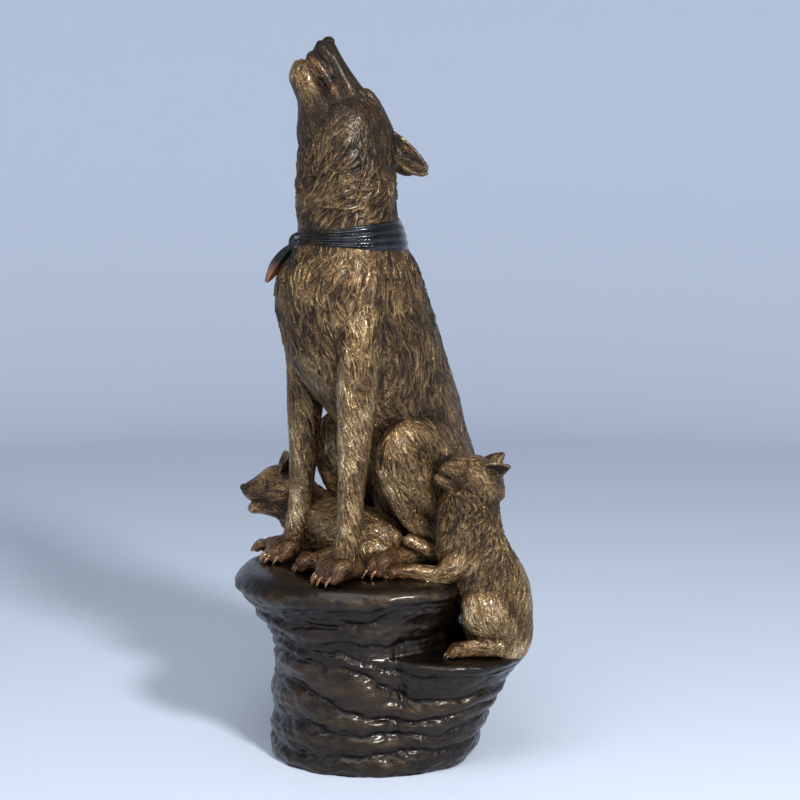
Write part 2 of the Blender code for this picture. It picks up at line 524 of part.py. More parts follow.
def rock():
    bearing = np.linspace(0, 2 * math.pi, 132, endpoint=False)
    table = np.array(ROCK_RINGS, float)
    rings = around(table[:, 1:], bearing)
    rows = np.column_stack((table[:, 0], np.zeros((len(table), 2)), rings))
    rows = smooth_path(rows, 6.0)
    height, radius = MM * rows[:, :1], MM * rows[:, 3:]
    fade = np.clip((ROCK_TOP - 4 * MM - height) / (30 * MM), 0, 1)
    radius = radius + fade * beds(bearing, height)
    reach = np.clip(1.6 - np.abs(height - 170 * MM) / (70 * MM), 0, 1)
    cleft = np.exp(-(((bearing - CLEFT_BEARING) / 0.05) ** 2)) * reach
    radius = radius - 10 * MM * cleft
    swell = 4 * MM * np.sin(3 * bearing + 1) * np.clip((height - 390 * MM) / (10 * MM), 0, 1)
    points = np.stack((radius * np.cos(bearing), radius * np.sin(bearing), height + swell), -1)
    points = np.concatenate((points, points[-1:] * (0.6, 0.6, 1)))
    poles = (points[0].mean(axis=0), points[-1].mean(axis=0))
    faces = grid_faces(len(points), len(bearing))
    return [outward(np.vstack((points.reshape(-1, 3), poles)), faces)]


def bronze():
    material = bpy.data.materials.new("patinated_bronze")
    material.use_nodes = True
    shader = material.node_tree.nodes["Principled BSDF"]
    shader.inputs["Base Color"].default_value = (0.19, 0.10, 0.038, 1)
    shader.inputs["Metallic"].default_value = 0.85
    shader.inputs["Roughness"].default_value = 0.40
    return material


def mesh_object(name, bodies, collection):
    """One object that holds every closed body, each overlapping its neighbours."""
    points, faces, start = [], [], 0
    for body_points, body_faces in bodies:
        points.append(body_points)
        faces += [[start + k for k in face] for face in body_faces]
        start += len(body_points)
    mesh = bpy.data.meshes.new(name)
    mesh.from_pydata(np.vstack(points).tolist(), [], faces)
    obj = bpy.data.objects.new(name, mesh)
    collection.objects.link(obj)
    return obj


def main():
    for obj in list(bpy.data.objects):
        bpy.data.objects.remove(obj)
    figures = bpy.data.collections.new("wolf_figurine")
    helpers = bpy.data.collections.new("cutters")
    for collection in (figures, helpers):
        bpy.context.scene.collection.children.link(collection)

    bodies = rock() + wolf_body() + wolf_head() + scarf() + lying_cub() + sitting_cub()
    statue = mesh_object("wolf_figurine", bodies, figures)
    statue.data.materials.append(bronze())

    fuse = statue.modifiers.new("fuse", "REMESH")
    fuse.mode = "VOXEL"
    fuse.voxel_size = MESH_CELL
    blend = statue.modifiers.new("blend", "SMOOTH")
    blend.factor = 0.5
    blend.iterations = 2
    thin = statue.modifiers.new("thin", "DECIMATE")
    thin.ratio = FACE_SHARE

    bpy.ops.mesh.primitive_cube_add(size=1, location=(0, 0, -0.5))
    floor = bpy.context.object
    floor.name = "floor_cutter"
    floor.hide_render = True
    floor.display_type = "WIRE"
    for collection in list(floor.users_collection):
        collection.objects.unlink(floor)
    helpers.objects.link(floor)
    level = statue.modifiers.new("level_foot", "BOOLEAN")
    level.operation = "DIFFERENCE"
    level.object = floor


main()
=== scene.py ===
"""A cast bronze group: a howling wolf with a neckerchief on a rock, with one cub lying between its forelegs
and one cub sitting on a lower ledge. The file is laid out as a Blender add-on and run as a script.

Metres, +Z up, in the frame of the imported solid. The origin is the centre of the rock's underside. The tables
of sections are in millimetres. A figure is a set of closed lofts that overlap. They are fused into one skin,
and tufts of hair are laid over the skin along the way that the hair lies."""

import itertools
import math
from collections import namedtuple

import bpy
import numpy as np
from bpy.props import FloatProperty, FloatVectorProperty, PointerProperty
from bpy.types import Operator, Panel, PropertyGroup
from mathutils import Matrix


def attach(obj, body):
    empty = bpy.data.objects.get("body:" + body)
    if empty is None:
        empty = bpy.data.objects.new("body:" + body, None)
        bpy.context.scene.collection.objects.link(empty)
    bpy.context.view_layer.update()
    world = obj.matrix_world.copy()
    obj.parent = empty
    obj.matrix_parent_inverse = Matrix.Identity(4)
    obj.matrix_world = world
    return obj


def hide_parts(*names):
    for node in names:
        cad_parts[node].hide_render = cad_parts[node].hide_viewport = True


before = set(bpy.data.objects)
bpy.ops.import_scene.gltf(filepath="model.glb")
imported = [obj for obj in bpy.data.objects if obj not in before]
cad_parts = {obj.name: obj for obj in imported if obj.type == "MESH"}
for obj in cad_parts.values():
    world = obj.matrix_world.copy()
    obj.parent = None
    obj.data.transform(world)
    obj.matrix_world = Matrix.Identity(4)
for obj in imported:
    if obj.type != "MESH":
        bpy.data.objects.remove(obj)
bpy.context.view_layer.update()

bl_info = {
    "name": "Bronze wolf group",
    "version": (1, 0, 0),
    "blender": (4, 5, 0),
    "location": "3D View > Sidebar > Bronze",
    "description": "Builds a cast bronze wolf with two cubs on a rock",
    "category": "Object",
}

MM = 0.001
UP = np.array((0.0, 0.0, 1.0))

# A closed surface: its points, its faces with four and with three corners, and at each point the way that the
# hair lies and the coat.
Form = namedtuple("Form", "points quads fans flow coat")

# A coat: lift of the tufts, their length and width in mm, and the shares of copper rub, of dark patina (below
# zero where the bronze is rubbed brighter) and of swirl in the way that the hair lies.
COATS = {
    "mane": (8.0, 50, 20, 0.0, 0.10, 0.7),
    "chest": (7.0, 54, 20, 0.0, 0.12, 0.8),
    "flank": (3.6, 50, 13, 0.0, -0.12, 0.6),
    "thigh": (3.2, 42, 12, 0.0, 0.0, 0.5),
    "leg": (2.2, 30, 9, 0.0, -0.3, 0.3),
    "paw": (1.0, 18, 7, 0.15, 0.25, 0.2),
    "toe": (0.6, 14, 5, 0.25, 0.6, 0.1),
    "cheek": (2.6, 22, 10, 0.0, 0.4, 0.6),
    "face": (1.0, 13, 6, 0.0, 0.45, 0.4),
    "muzzle": (0.25, 10, 5, 0.0, 0.8, 0.2),
    "chin": (0.6, 12, 5, 0.0, 0.10, 0.2),
    "mouth": (0.0, 12, 6, 1.0, -0.5, 0.0),
    "nose": (0.0, 12, 6, 0.0, 0.9, 0.0),
    "ear": (0.8, 16, 6, 0.0, 0.25, 0.2),
    "cub": (2.8, 22, 8, 0.0, -0.4, 0.8),
    "ruff": (7.0, 24, 10, 0.0, 0.0, 0.8),
    "cub_face": (1.3, 12, 6, 0.0, -0.05, 0.4),
    "cub_muzzle": (0.4, 9, 5, 0.0, 0.05, 0.2),
    "cub_leg": (1.3, 14, 6, 0.1, 0.0, 0.3),
    "cub_paw": (0.6, 10, 5, 0.35, 0.25, 0.2),
}

# Wolf
ROCK_TOP = 400 * MM
LEDGE_TOP = 244 * MM
WOLF_SPOT = (-20 * MM, 28 * MM)
WOLF_HEADING = math.radians(215)
HEAD_HEADING = math.radians(192)
HEAD_RAISE = math.radians(56.6)
HEAD_HEIGHT = 999 * MM
LEG_OUT = 108
LEFT_FORELEG_LEAD = 7
SCARF_HEIGHT = 700 * MM
KNOT_BEARING = math.radians(200)
KNOT_REACH = 115 * MM
SCARF_TAIL_LENGTH = 104 * MM
WOLF_TOE = 16.5 * MM
CHEST_FLOOR = 400 * MM

# Cubs: the head's place above the ground, its heading and how far it is raised.
LYING_CUB_HEAD = (np.array((-202, 132, 142)) * MM, math.radians(184), math.radians(-9))
SITTING_CUB_HEAD = (np.array((211, -95, 358)) * MM, math.radians(180), math.radians(24))
CUB_TOE = 8.5 * MM

# Stage: the camera of the photograph, and the lamps' names, places, sizes in metres and watts.
CAMERA_SPOT = (0.06, -3.6, 1.25)
CAMERA_TILT = math.radians(90 - 7.81)
SENSOR = 36
LENS = SENSOR * 1731 / 800
LAMPS = (("key", (2.0, -3.6, 3.4), 0.7, 250), ("fill", (-3.2, -2.6, 2.2), 2.5, 22),
         ("sky", (-0.7, -2.0, 4.2), 2.6, 70))
SKY, SKY_STRENGTH = (0.86, 0.91, 1.0, 1), 0.27

# Level sections of trunk and neck: forward, left, height, half-length and half-width.
TRUNK = (
    (-172, 0, -8, 88, 92), (-180, 0, 40, 112, 116), (-176, 0, 90, 119, 124), (-163, 0, 160, 122, 124),
    (-142, 0, 231, 125, 122), (-107, 0, 285, 140, 122), (-71, 0, 349, 160, 126), (-18, 0, 436, 176, 139),
    (-2, 0, 480, 174, 143), (14, 0, 531, 171, 144), (26, 0, 575, 167, 141), (32, 0, 626, 152, 133),
    (29, 0, 668, 126, 118), (31, 0, 705, 109, 105),
)
NECK = (
    (30, 0, 690, 112, 108), (31, 0, 705, 109, 105), (35, 0, 743, 105, 100), (37, 0, 784, 106, 101),
    (38, 0, 825, 104, 98), (39, 0, 870, 101, 94), (37, 0, 915, 92, 86), (33, 0, 955, 78, 74),
    (26, 0, 985, 52, 50),
)

# Foreleg from shoulder blade to pastern: forward, out, height, half-width out, half-width along.
FORELEG = (
    (-20, 84, 620, 24, 40), (15, 98, 590, 34, 50), (52, 102, 540, 41, 56), (68, 104, 480, 41, 52),
    (76, 107, 415, 39, 46), (80, 109, 350, 37, 41), (84, 108, 300, 34, 37), (87, 107, 240, 30, 32),
    (92, 107, 180, 27, 28), (97, 108, 120, 25, 26), (103, 109, 72, 26, 27), (111, 110, 42, 28, 27),
)

# Haunch, square to the wolf's length: forward, out, height, half-height, half-width.
HAUNCH = (
    (39, 122, 246, 15, 12), (33, 122, 244, 36, 25), (20, 122, 241, 58, 36), (-2, 120, 234, 82, 46),
    (-30, 115, 224, 103, 55), (-71, 108, 210, 121, 62), (-130, 97, 188, 127, 65), (-187, 86, 163, 112, 61),
    (-232, 74, 138, 76, 47), (-252, 68, 128, 36, 26),
)

# Shin from knee to hock, then the long hind foot: forward, out, height, half-width, half-depth.
SHIN = ((10, 122, 232, 28, 36), (-12, 124, 170, 27, 32), (-54, 122, 108, 25, 28), (-104, 117, 68, 26, 27))
HIND_FOOT = ((-122, 114, 56, 22, 24), (-80, 112, 38, 23, 22), (-38, 110, 32, 26, 24), (-8, 109, 30, 30, 24))

# Tail on the rock, round the side away from the viewer: forward, left, height, radius.
TAIL = ((-250, 0, 62, 24), (-292, -24, 34, 32), (-282, -95, 26, 39), (-225, -152, 26, 41),
        (-150, -176, 24, 34), (-92, -182, 20, 19))

# The head's sections along the line from nape to nose: along, down, half-height, half-width.
SKULL = (
    (-158, 68, 52, 58), (-125, 64, 62, 71), (-90, 60, 67, 77), (-55, 54, 65, 75), (-27, 45, 57, 66),
    (0, 41, 41, 52), (30, 34, 31, 43), (60, 29, 25, 37), (90, 25, 22, 33), (108, 26, 25, 29),
    (119, 27, 23, 25), (125, 27, 17, 19),
)
CHEEK = ((-70, 88, 60, 72), (-20, 80, 50, 64), (20, 66, 36, 50), (44, 58, 23, 40), (57, 55, 10, 30))
TONGUE = ((0, 60, 18, 42), (50, 58, 19, 36), (72, 57, 18, 33), (98, 57, 18, 29), (113, 58, 14, 23),
          (118, 59, 8, 15))
JAW = (
    (-80, 116, 70, 72), (-34, 114, 66, 68), (0, 110, 58, 60), (29, 104, 42, 50), (52, 100, 31, 42),
    (75, 96, 29, 36), (98, 94, 27, 31), (112, 91, 21, 25), (121, 89, 11, 13),
)
# The rolled lip from the front of the upper lip round the corner to the chin: along, down, out.
LIP = ((124, 42, 8), (113, 41, 19), (95, 40, 25), (77, 42, 29), (64, 48, 32), (58, 56, 32), (66, 65, 31),
       (80, 69, 27), (100, 70, 23), (115, 73, 14), (122, 78, 6))

# A cub's head along the line from nape to nose: along, down, half-height, half-width.
CUB_SKULL = ((-56, 4, 30, 34), (-42, 2, 46, 49), (-15, 0, 52, 56), (10, -4, 49, 53), (26, -7, 41, 46),
             (40, -8, 32, 36), (56, -7, 25, 29), (68, -6, 21, 25), (76, -7, 15, 18))
CUB_JAW = ((-24, 26, 42, 50), (12, 30, 32, 40), (36, 29, 22, 29), (54, 28, 15, 21), (67, 28, 13, 17),
           (74, 28, 9, 11))

# Level rings of the rock: height, then the radius at each of the bearings, in degrees from +X.
BEARINGS = (0, 20, 45, 70, 90, 115, 140, 160, 180, 200, 225, 250, 270, 285, 300, 315, 330, 345)
ROCK_RINGS = (
    (0, 209, 205, 201, 199, 199, 201, 205, 207, 210, 207, 201, 195, 191, 191, 197, 204, 210, 211),
    (28, 224, 214, 206, 203, 202, 204, 208, 211, 214, 211, 204, 197, 192, 191, 203, 214, 223, 226),
    (66, 236, 224, 212, 206, 204, 205, 207, 209, 211, 208, 202, 195, 189, 187, 206, 222, 235, 240),
    (112, 248, 232, 216, 209, 206, 205, 206, 207, 208, 205, 200, 194, 188, 184, 209, 232, 248, 256),
    (158, 264, 244, 224, 213, 209, 206, 205, 205, 206, 203, 199, 194, 189, 184, 214, 247, 270, 280),
    (200, 284, 256, 232, 218, 212, 206, 203, 200, 198, 198, 197, 194, 190, 186, 224, 266, 292, 304),
    (220, 312, 272, 240, 223, 215, 208, 205, 203, 202, 201, 199, 195, 191, 190, 240, 288, 320, 328),
    (236, 318, 278, 245, 227, 219, 212, 208, 206, 205, 203, 200, 196, 192, 192, 244, 292, 326, 334),
    (246, 290, 266, 247, 230, 222, 214, 210, 208, 207, 205, 201, 196, 191, 188, 222, 262, 292, 302),
    (250, 226, 244, 249, 233, 225, 217, 213, 211, 209, 206, 202, 195, 188, 182, 186, 190, 200, 212),
    (270, 210, 238, 258, 243, 233, 225, 221, 222, 222, 216, 207, 196, 187, 180, 180, 182, 190, 200),
    (300, 200, 240, 272, 260, 246, 238, 234, 236, 238, 228, 212, 199, 191, 185, 186, 188, 192, 194),
    (322, 194, 244, 284, 272, 256, 250, 250, 254, 256, 242, 216, 200, 193, 190, 192, 196, 196, 190),
    (345, 190, 256, 300, 288, 270, 266, 268, 275, 277, 262, 232, 213, 206, 206, 210, 214, 206, 190),
    (368, 188, 264, 308, 298, 280, 278, 282, 288, 285, 270, 242, 220, 211, 212, 218, 224, 216, 194),
    (386, 182, 262, 304, 296, 278, 276, 280, 286, 279, 264, 236, 214, 206, 208, 216, 222, 214, 190),
    (397, 168, 250, 290, 283, 266, 264, 268, 274, 264, 250, 222, 200, 192, 194, 202, 208, 198, 174),
    (401, 130, 210, 250, 244, 228, 226, 230, 236, 226, 212, 184, 162, 154, 156, 164, 170, 160, 136),
)
# Heights of the creases between the beds of stone, one row for each crease, at the same bearings.
CREASES = (
    (50, 48, 44, 42, 40, 38, 38, 38, 38, 38, 38, 41, 44, 44, 58, 48, 54, 54),
    (104, 100, 96, 92, 90, 88, 90, 92, 93, 95, 101, 94, 90, 84, 88, 88, 104, 106),
    (146, 150, 156, 160, 165, 170, 172, 175, 176, 180, 182, 148, 122, 114, 119, 127, 140, 144),
    (178, 190, 205, 215, 222, 228, 232, 235, 236, 237, 241, 231, 204, 177, 165, 159, 168, 172),
    (222, 226, 232, 238, 244, 250, 252, 254, 256, 258, 262, 252, 236, 220, 211, 208, 218, 222),
    (300, 298, 290, 286, 284, 282, 284, 285, 286, 284, 274, 276, 274, 277, 280, 285, 296, 300),
    (345, 342, 335, 328, 322, 318, 316, 315, 314, 312, 309, 312, 328, 345, 350, 350, 347, 346),
    (372, 370, 366, 362, 358, 354, 352, 350, 349, 347, 345, 350, 355, 360, 362, 366, 371, 373),
)
# How far each bed swells between its creases, and how far the whole bed stands out, from the foot up.
BED_SWELL = (12, 13, 14, 16, 9, 8, 10, 8, 12)
BED_STEP = (0, 0, 1, 2, 0, -5, 1, -4, 2)
CLEFT_BEARING = math.radians(288.5)


# ---------------------------------------------------------------------------------------- sums and surfaces


def unit(vectors):
    """The vectors at length one."""
    vectors = np.asarray(vectors, float)
    return vectors / (np.linalg.norm(vectors, axis=-1, keepdims=True) + 1e-12)


def heading(angle):
    """The level direction that lies at this angle from +X."""
    return np.array((math.cos(angle), math.sin(angle), 0.0))


def ease(low, high, values):
    """A smooth step: 0 below low, 1 above high, and 3t^2 - 2t^3 between."""
    t = np.clip((values - low) / (high - low), 0, 1)
    return t * t * (3 - 2 * t)


def smooth_path(rows, spacing):
    """A Catmull-Rom curve through the rows: between two rows a cubic that leaves each row along the line
    between its neighbours, sampled about every spacing along the first three columns."""
    rows = np.asarray(rows, float)
    padded = np.vstack((2 * rows[0] - rows[1], rows, 2 * rows[-1] - rows[-2]))
    samples = []
    for before, start, end, after in zip(padded, padded[1:], padded[2:], padded[3:]):
        count = max(2, int(np.linalg.norm(end[:3] - start[:3]) / spacing))
        t = (np.arange(count) / count)[:, None]
        samples.append(
            0.5 * (2 * start + (end - before) * t
                   + (2 * before - 5 * start + 4 * end - after) * t**2
                   + (3 * start - before - 3 * end + after) * t**3)
        )
    return np.vstack(samples + [rows[-1:]])


def lattice_noise(points, cell, seed):
    """Smooth values from -1 to 1: a hashed number at each corner of a grid of this cell, mixed by a smooth step
    of the place between the corners."""
    grid = np.asarray(points, float) / cell
    base = np.floor(grid).astype(np.int64)
    part = grid - base
    part = part * part * (3 - 2 * part)
    total = np.zeros(grid.shape[:-1])
    for corner in itertools.product((0, 1), repeat=3):
        x, y, z = np.moveaxis(base + corner, -1, 0)
        code = (x * 73856093) ^ (y * 19349663) ^ (z * 83492791) ^ (seed * 2654435761)
        code = ((code ^ (code >> 13)) * 1274126177) & 0xFFFFFFFF
        value = ((code ^ (code >> 16)) & 0xFFFF) / 32767.5 - 1
        total += value * np.where(corner, part, 1 - part).prod(-1)
    return total


def ring_faces(rings, sides):
    """Quads between neighbouring rings, and one fan of triangles to a pole at each end."""
    ring, side = np.meshgrid(np.arange(rings - 1), np.arange(sides), indexing="ij")
    here = ring * sides + side
    beside = ring * sides + (side + 1) % sides
    quads = np.stack((here, beside, beside + sides, here + sides), -1).reshape(-1, 4)
    k = np.arange(sides)
    after, last, pole = (k + 1) % sides, (rings - 1) * sides, rings * sides + np.zeros(sides, int)
    fans = np.vstack((np.stack((pole, after, k), -1), np.stack((pole + 1, last + k, last + after), -1)))
    return quads, fans


def outward(points, quads, fans):
    """The faces turned so that the closed surface encloses a positive volume."""
    corners = np.vstack((quads[:, (0, 1, 2)], quads[:, (0, 2, 3)], fans))
    a, b, c = points[corners[:, 0]], points[corners[:, 1]], points[corners[:, 2]]
    if np.einsum("ij,ij->i", a, np.cross(b, c)).sum() < 0:
        quads, fans = quads[:, ::-1], fans[:, ::-1]
    return quads, fans


def coat_rows(names, share):
    """The coat at each share of a path, from the names of the coats at even steps along it."""
    table = np.array([COATS[name] for name in names], float)
    place = np.clip(share, 0, 1) * (len(table) - 1)
    return np.stack([np.interp(place, np.arange(len(table)), column) for column in table.T], -1)


def loft(rows, side, coat, normal=None, sides=40, spacing=5 * MM, square=2.0, lie=1):
    """A closed body along a path. Each row is a centre and the half-widths a along side and b across it. Ring
    points are centre + a cos(t) u + b sin(t) v, with both waves raised to 2 / square, so that a higher square
    gives boxier rings. The hair lies along the path, times lie, or along lie where it is a direction."""
    path = smooth_path(rows, spacing)
    centres, half_side, half_across = path[:, :3], path[:, 3], path[:, 4]
    way = np.gradient(centres, axis=0)
    run = unit(way) if normal is None else unit(np.tile(normal, (len(path), 1)))
    u = unit(side - (run @ side)[:, None] * run)
    v = np.cross(run, u)
    angle = np.linspace(0, 2 * math.pi, sides, endpoint=False)
    cosine = np.sign(np.cos(angle)) * np.abs(np.cos(angle)) ** (2 / square)
    sine = np.sign(np.sin(angle)) * np.abs(np.sin(angle)) ** (2 / square)
    rings = (centres[:, None] + (half_side[:, None] * cosine)[..., None] * u[:, None]
             + (half_across[:, None] * sine)[..., None] * v[:, None])
    bulge = 0.6 * np.minimum(half_side, half_across)[[0, -1]]
    poles = (centres[0] - bulge[0] * run[0], centres[-1] + bulge[1] * run[-1])
    points = np.vstack((rings.reshape(-1, 3), poles))
    flow = unit(way) * lie if np.ndim(lie) == 0 else np.tile(unit(lie), (len(path), 1))
    flow = np.vstack((np.repeat(flow, sides, axis=0), flow[[0, -1]]))
    coats = coat_rows(coat, np.linspace(0, 1, len(path)))
    coats = np.vstack((np.repeat(coats, sides, axis=0), coats[[0, -1]]))
    return Form(points, *outward(points, *ring_faces(len(rings), sides)), flow, coats)


def ball(centre, radii, axes, coat, lie=None, sides=32):
    """An ellipsoid as a loft of rings along the first of its axes, each ring the root of 1 - share^2 wide."""
    share = np.array((-0.97, -0.85, -0.6, -0.3, 0.0, 0.3, 0.6, 0.85, 0.97))
    ring = np.sqrt(1 - share**2)
    rows = np.column_stack((centre + np.outer(share * radii[0], axes[0]), ring * radii[1], ring * radii[2]))
    return loft(rows, axes[1], coat, normal=axes[0], sides=sides, spacing=radii[0] / 6,
                lie=axes[0] if lie is None else lie)


def shell_sheet(grid, thickness, flow, coat):
    """A closed body from a grid of points, moved to both sides along the grid's normal by half the thickness."""
    along, across = np.gradient(grid, axis=0), np.gradient(grid, axis=1)
    offset = 0.5 * np.asarray(thickness)[..., None] * unit(np.cross(along, across))
    rings = np.concatenate((grid + offset, (grid - offset)[:, ::-1]), axis=1)
    points = np.vstack((rings.reshape(-1, 3), rings[0].mean(axis=0), rings[-1].mean(axis=0)))
    coats = np.tile(np.array(COATS[coat], float), (len(points), 1))
    return Form(points, *outward(points, *ring_faces(*rings.shape[:2])), np.tile(unit(flow), (len(points), 1)),
                coats)


# ------------------------------------------------------------------------------------------- skin and hair


def mesh_of(name, points, quads, fans):
    """A smooth mesh from arrays of points and of faces with four and with three corners."""
    mesh = bpy.data.meshes.new(name)
    corners = np.concatenate((quads.ravel(), fans.ravel())).astype(np.int32)
    counts = np.repeat((4, 3), (len(quads), len(fans)))
    mesh.vertices.add(len(points))
    mesh.vertices.foreach_set("co", points.astype(np.float32).ravel())
    mesh.loops.add(len(corners))
    mesh.loops.foreach_set("vertex_index", corners)
    mesh.polygons.add(len(counts))
    mesh.polygons.foreach_set("loop_start", (np.cumsum(counts) - counts).astype(np.int32))
    mesh.update(calc_edges=True)
    mesh.shade_smooth()
    return mesh


def joined(forms):
    """The points and faces of several forms as one set of arrays."""
    starts = np.cumsum([0] + [len(form.points) for form in forms[:-1]])
    return (np.concatenate([form.points for form in forms]),
            np.concatenate([form.quads + start for form, start in zip(forms, starts)]),
            np.concatenate([form.fans + start for form, start in zip(forms, starts)]))


def fuse(forms, cell, relax=3):
    """One closed skin round overlapping forms, by a voxel remesh at this cell and a little smoothing: its
    points, normals and quads."""
    mesh = mesh_of("forms", *joined(forms))
    lump = bpy.data.objects.new("forms", mesh)
    bpy.context.scene.collection.objects.link(lump)
    remesh = lump.modifiers.new("fuse", "REMESH")
    remesh.mode, remesh.voxel_size = "VOXEL", cell
    smooth = lump.modifiers.new("relax", "SMOOTH")
    smooth.factor, smooth.iterations = 0.5, relax
    solid = lump.evaluated_get(bpy.context.evaluated_depsgraph_get())
    skin = solid.to_mesh()
    points = np.empty((len(skin.vertices), 3), np.float32)
    normals = np.empty((len(skin.vertices), 3), np.float32)
    corners = np.empty(len(skin.loops), np.int32)
    skin.vertices.foreach_get("co", points.ravel())
    skin.vertex_normals.foreach_get("vector", normals.ravel())
    skin.loops.foreach_get("vertex_index", corners)
    if len(corners) != 4 * len(skin.polygons):
        raise RuntimeError("the fused skin isn't all quads")
    solid.to_mesh_clear()
    bpy.data.objects.remove(lump)
    bpy.data.meshes.remove(mesh)
    return points.astype(float), unit(normals), corners.reshape(-1, 4)


def weigh(points, samples, values, reach):
    """At each point the mean of the samples' values, each weighed by exp(-distance^2 / (2 reach^2)). The points
    are taken block by block, against the samples within five reaches of the block."""
    result = np.empty((len(points), values.shape[1]))
    blocks = np.floor(points / (4 * reach)).astype(np.int64) + 500
    keys = (blocks[:, 0] * 1000 + blocks[:, 1]) * 1000 + blocks[:, 2]
    order = np.argsort(keys, kind="stable")
    for chosen in np.split(order, np.flatnonzero(np.diff(keys[order])) + 1):
        block = points[chosen]
        low, high = block.min(axis=0) - 5 * reach, block.max(axis=0) + 5 * reach
        near = ((samples > low) & (samples < high)).all(axis=1)
        gap = ((block[:, None] - samples[near]) ** 2).sum(-1)
        weight = np.exp((gap.min(axis=1, keepdims=True) - gap) / (2 * reach**2))
        result[chosen] = weight @ values[near] / weight.sum(axis=1, keepdims=True)
    return result


def comb(points, normals, forms, reach):
    """The way that the hair lies on a skin and its coat, from the nearest points of the forms below it. The way
    is turned in the skin by noise, which gives the swirls."""
    samples = np.concatenate([form.points[::5] for form in forms])
    values = np.concatenate([np.hstack((form.flow, form.coat))[::5] for form in forms])
    values = weigh(points, samples, values, reach)
    flow, coat = values[:, :3], values[:, 3:]
    flow = unit(flow - np.einsum("ij,ij->i", flow, normals)[:, None] * normals)
    turn = 0.75 * lattice_noise(points, 75 * MM, 3) + 0.45 * lattice_noise(points, 32 * MM, 4)
    turn = (turn * coat[:, 5])[:, None]
    return np.cos(turn) * flow + np.sin(turn) * np.cross(normals, flow), coat


def lay_tufts(points, normals, flow, coat, area, seed, cover=3.2):
    """Lays pointed tufts over a skin, each rooted at a random point. A tuft is a leaf: along s from root to
    tip and across t, its half-width is (0.45 + 0.55 sqrt(s)) (1 - s^2.5), its height grows from the root to
    the tip, falls off as a rounded edge at its sides, and carries two or three strands as waves across it.
    Where tufts overlap, the highest shows. Gives the lift, the strand's direction and the crest."""
    rng = np.random.default_rng(seed)
    length, width, rise = coat[:, 1] * MM, coat[:, 2] * MM, coat[:, 0] * MM
    due = np.cumsum(area * cover / (length * width))
    count = int(due[-1])
    roots = np.minimum(np.searchsorted(due, np.arange(count) + rng.random(count)), len(points) - 1)
    turns, bends = rng.normal(0, 0.18, count), rng.normal(0, 0.32, count)
    sizes, phases, lifts = (rng.uniform(low, high, count) for low, high in ((0.7, 1.3), (0, 6.28), (0.55, 1.25)))

    cell = 22 * MM
    place = np.floor(points / cell).astype(np.int64) + 500
    keys = (place[:, 0] * 1000 + place[:, 1]) * 1000 + place[:, 2]
    order = np.argsort(keys, kind="stable")
    keys = keys[order]

    height, crest, strand = np.zeros(len(points)), np.zeros(len(points)), flow.copy()
    for k, root in enumerate(roots):
        size = sizes[k]
        long, half = length[root] * size, 0.5 * width[root] * size
        normal = normals[root]
        ahead = math.cos(turns[k]) * flow[root] + math.sin(turns[k]) * np.cross(normal, flow[root])
        beside = np.cross(normal, ahead)
        middle = points[root] + 0.5 * long * ahead
        reach = 0.5 * long + half
        low = np.floor((middle - reach) / cell).astype(int) + 500
        high = np.floor((middle + reach) / cell).astype(int) + 500
        x, y = np.meshgrid(np.arange(low[0], high[0] + 1), np.arange(low[1], high[1] + 1))
        column = (x.ravel() * 1000 + y.ravel()) * 1000
        first, last = np.searchsorted(keys, column + low[2]), np.searchsorted(keys, column + high[2] + 1)
        near = np.concatenate([order[a:b] for a, b in zip(first, last)])
        gap = points[near] - points[root]
        s = gap @ ahead / long
        t = gap @ beside / half - bends[k] * (long / half) * s * s
        lean = normals[near] @ normal
        inside = (s > 0) & (s < 1) & (np.abs(t) < 1) & (np.abs(gap @ normal) < 0.45 * long) & (lean > 0.1)
        near, s, t = near[inside], s[inside], t[inside]
        edge = (0.45 + 0.55 * np.sqrt(s)) * (1 - s**2.5)
        side = np.clip(np.abs(t) / (edge + 1e-6), 0, 1)
        body = (0.25 + 0.75 * s) * np.sqrt(np.minimum(1, s / 0.2) * (1 - side**2))
        strands = 2.0 if half < 6.5 * MM else 3.0
        body *= 0.86 + 0.14 * np.cos(strands * math.pi * t / (edge + 0.3) + phases[k])
        level = body * lifts[k] * rise[near]
        better = level > height[near]
        chosen = near[better]
        height[chosen] = level[better]
        crest[chosen] = body[better]
        strand[chosen] = ahead + 2 * bends[k] * s[better, None] * beside
    strand -= np.einsum("ij,ij->i", strand, normals)[:, None] * normals
    return height - 0.45 * rise, unit(strand), crest


def dent(points, normals, dents):
    """Moves the skin in along its normal by depth exp(-distance^2 / radius^2) round each centre."""
    shift = np.zeros(len(points))
    for centre, radius, depth in dents:
        shift += depth * np.exp(-((points - centre) ** 2).sum(1) / radius**2)
    return points - shift[:, None] * normals


def ridges(points, normals, quads, rounds=60):
    """How far a skin stands out from a smoothed copy of itself, from 0 in the hollows between limbs to 1 on
    their backs. The copy moves each point to the mean of its neighbours, round after round. The bronze reads
    it partly as patina rubbed back on the backs and partly as painted shade that darkens the hollows."""
    start, end = quads.T.ravel(), np.roll(quads, -1, axis=1).T.ravel()
    count = np.bincount(start, minlength=len(points))
    calm = points
    for _ in range(rounds):
        calm = np.stack([np.bincount(start, calm[end, k], len(points)) / count for k in range(3)], -1)
    return np.clip(0.42 + np.einsum("ij,ij->i", points - calm, normals) / (9 * MM), 0, 1)


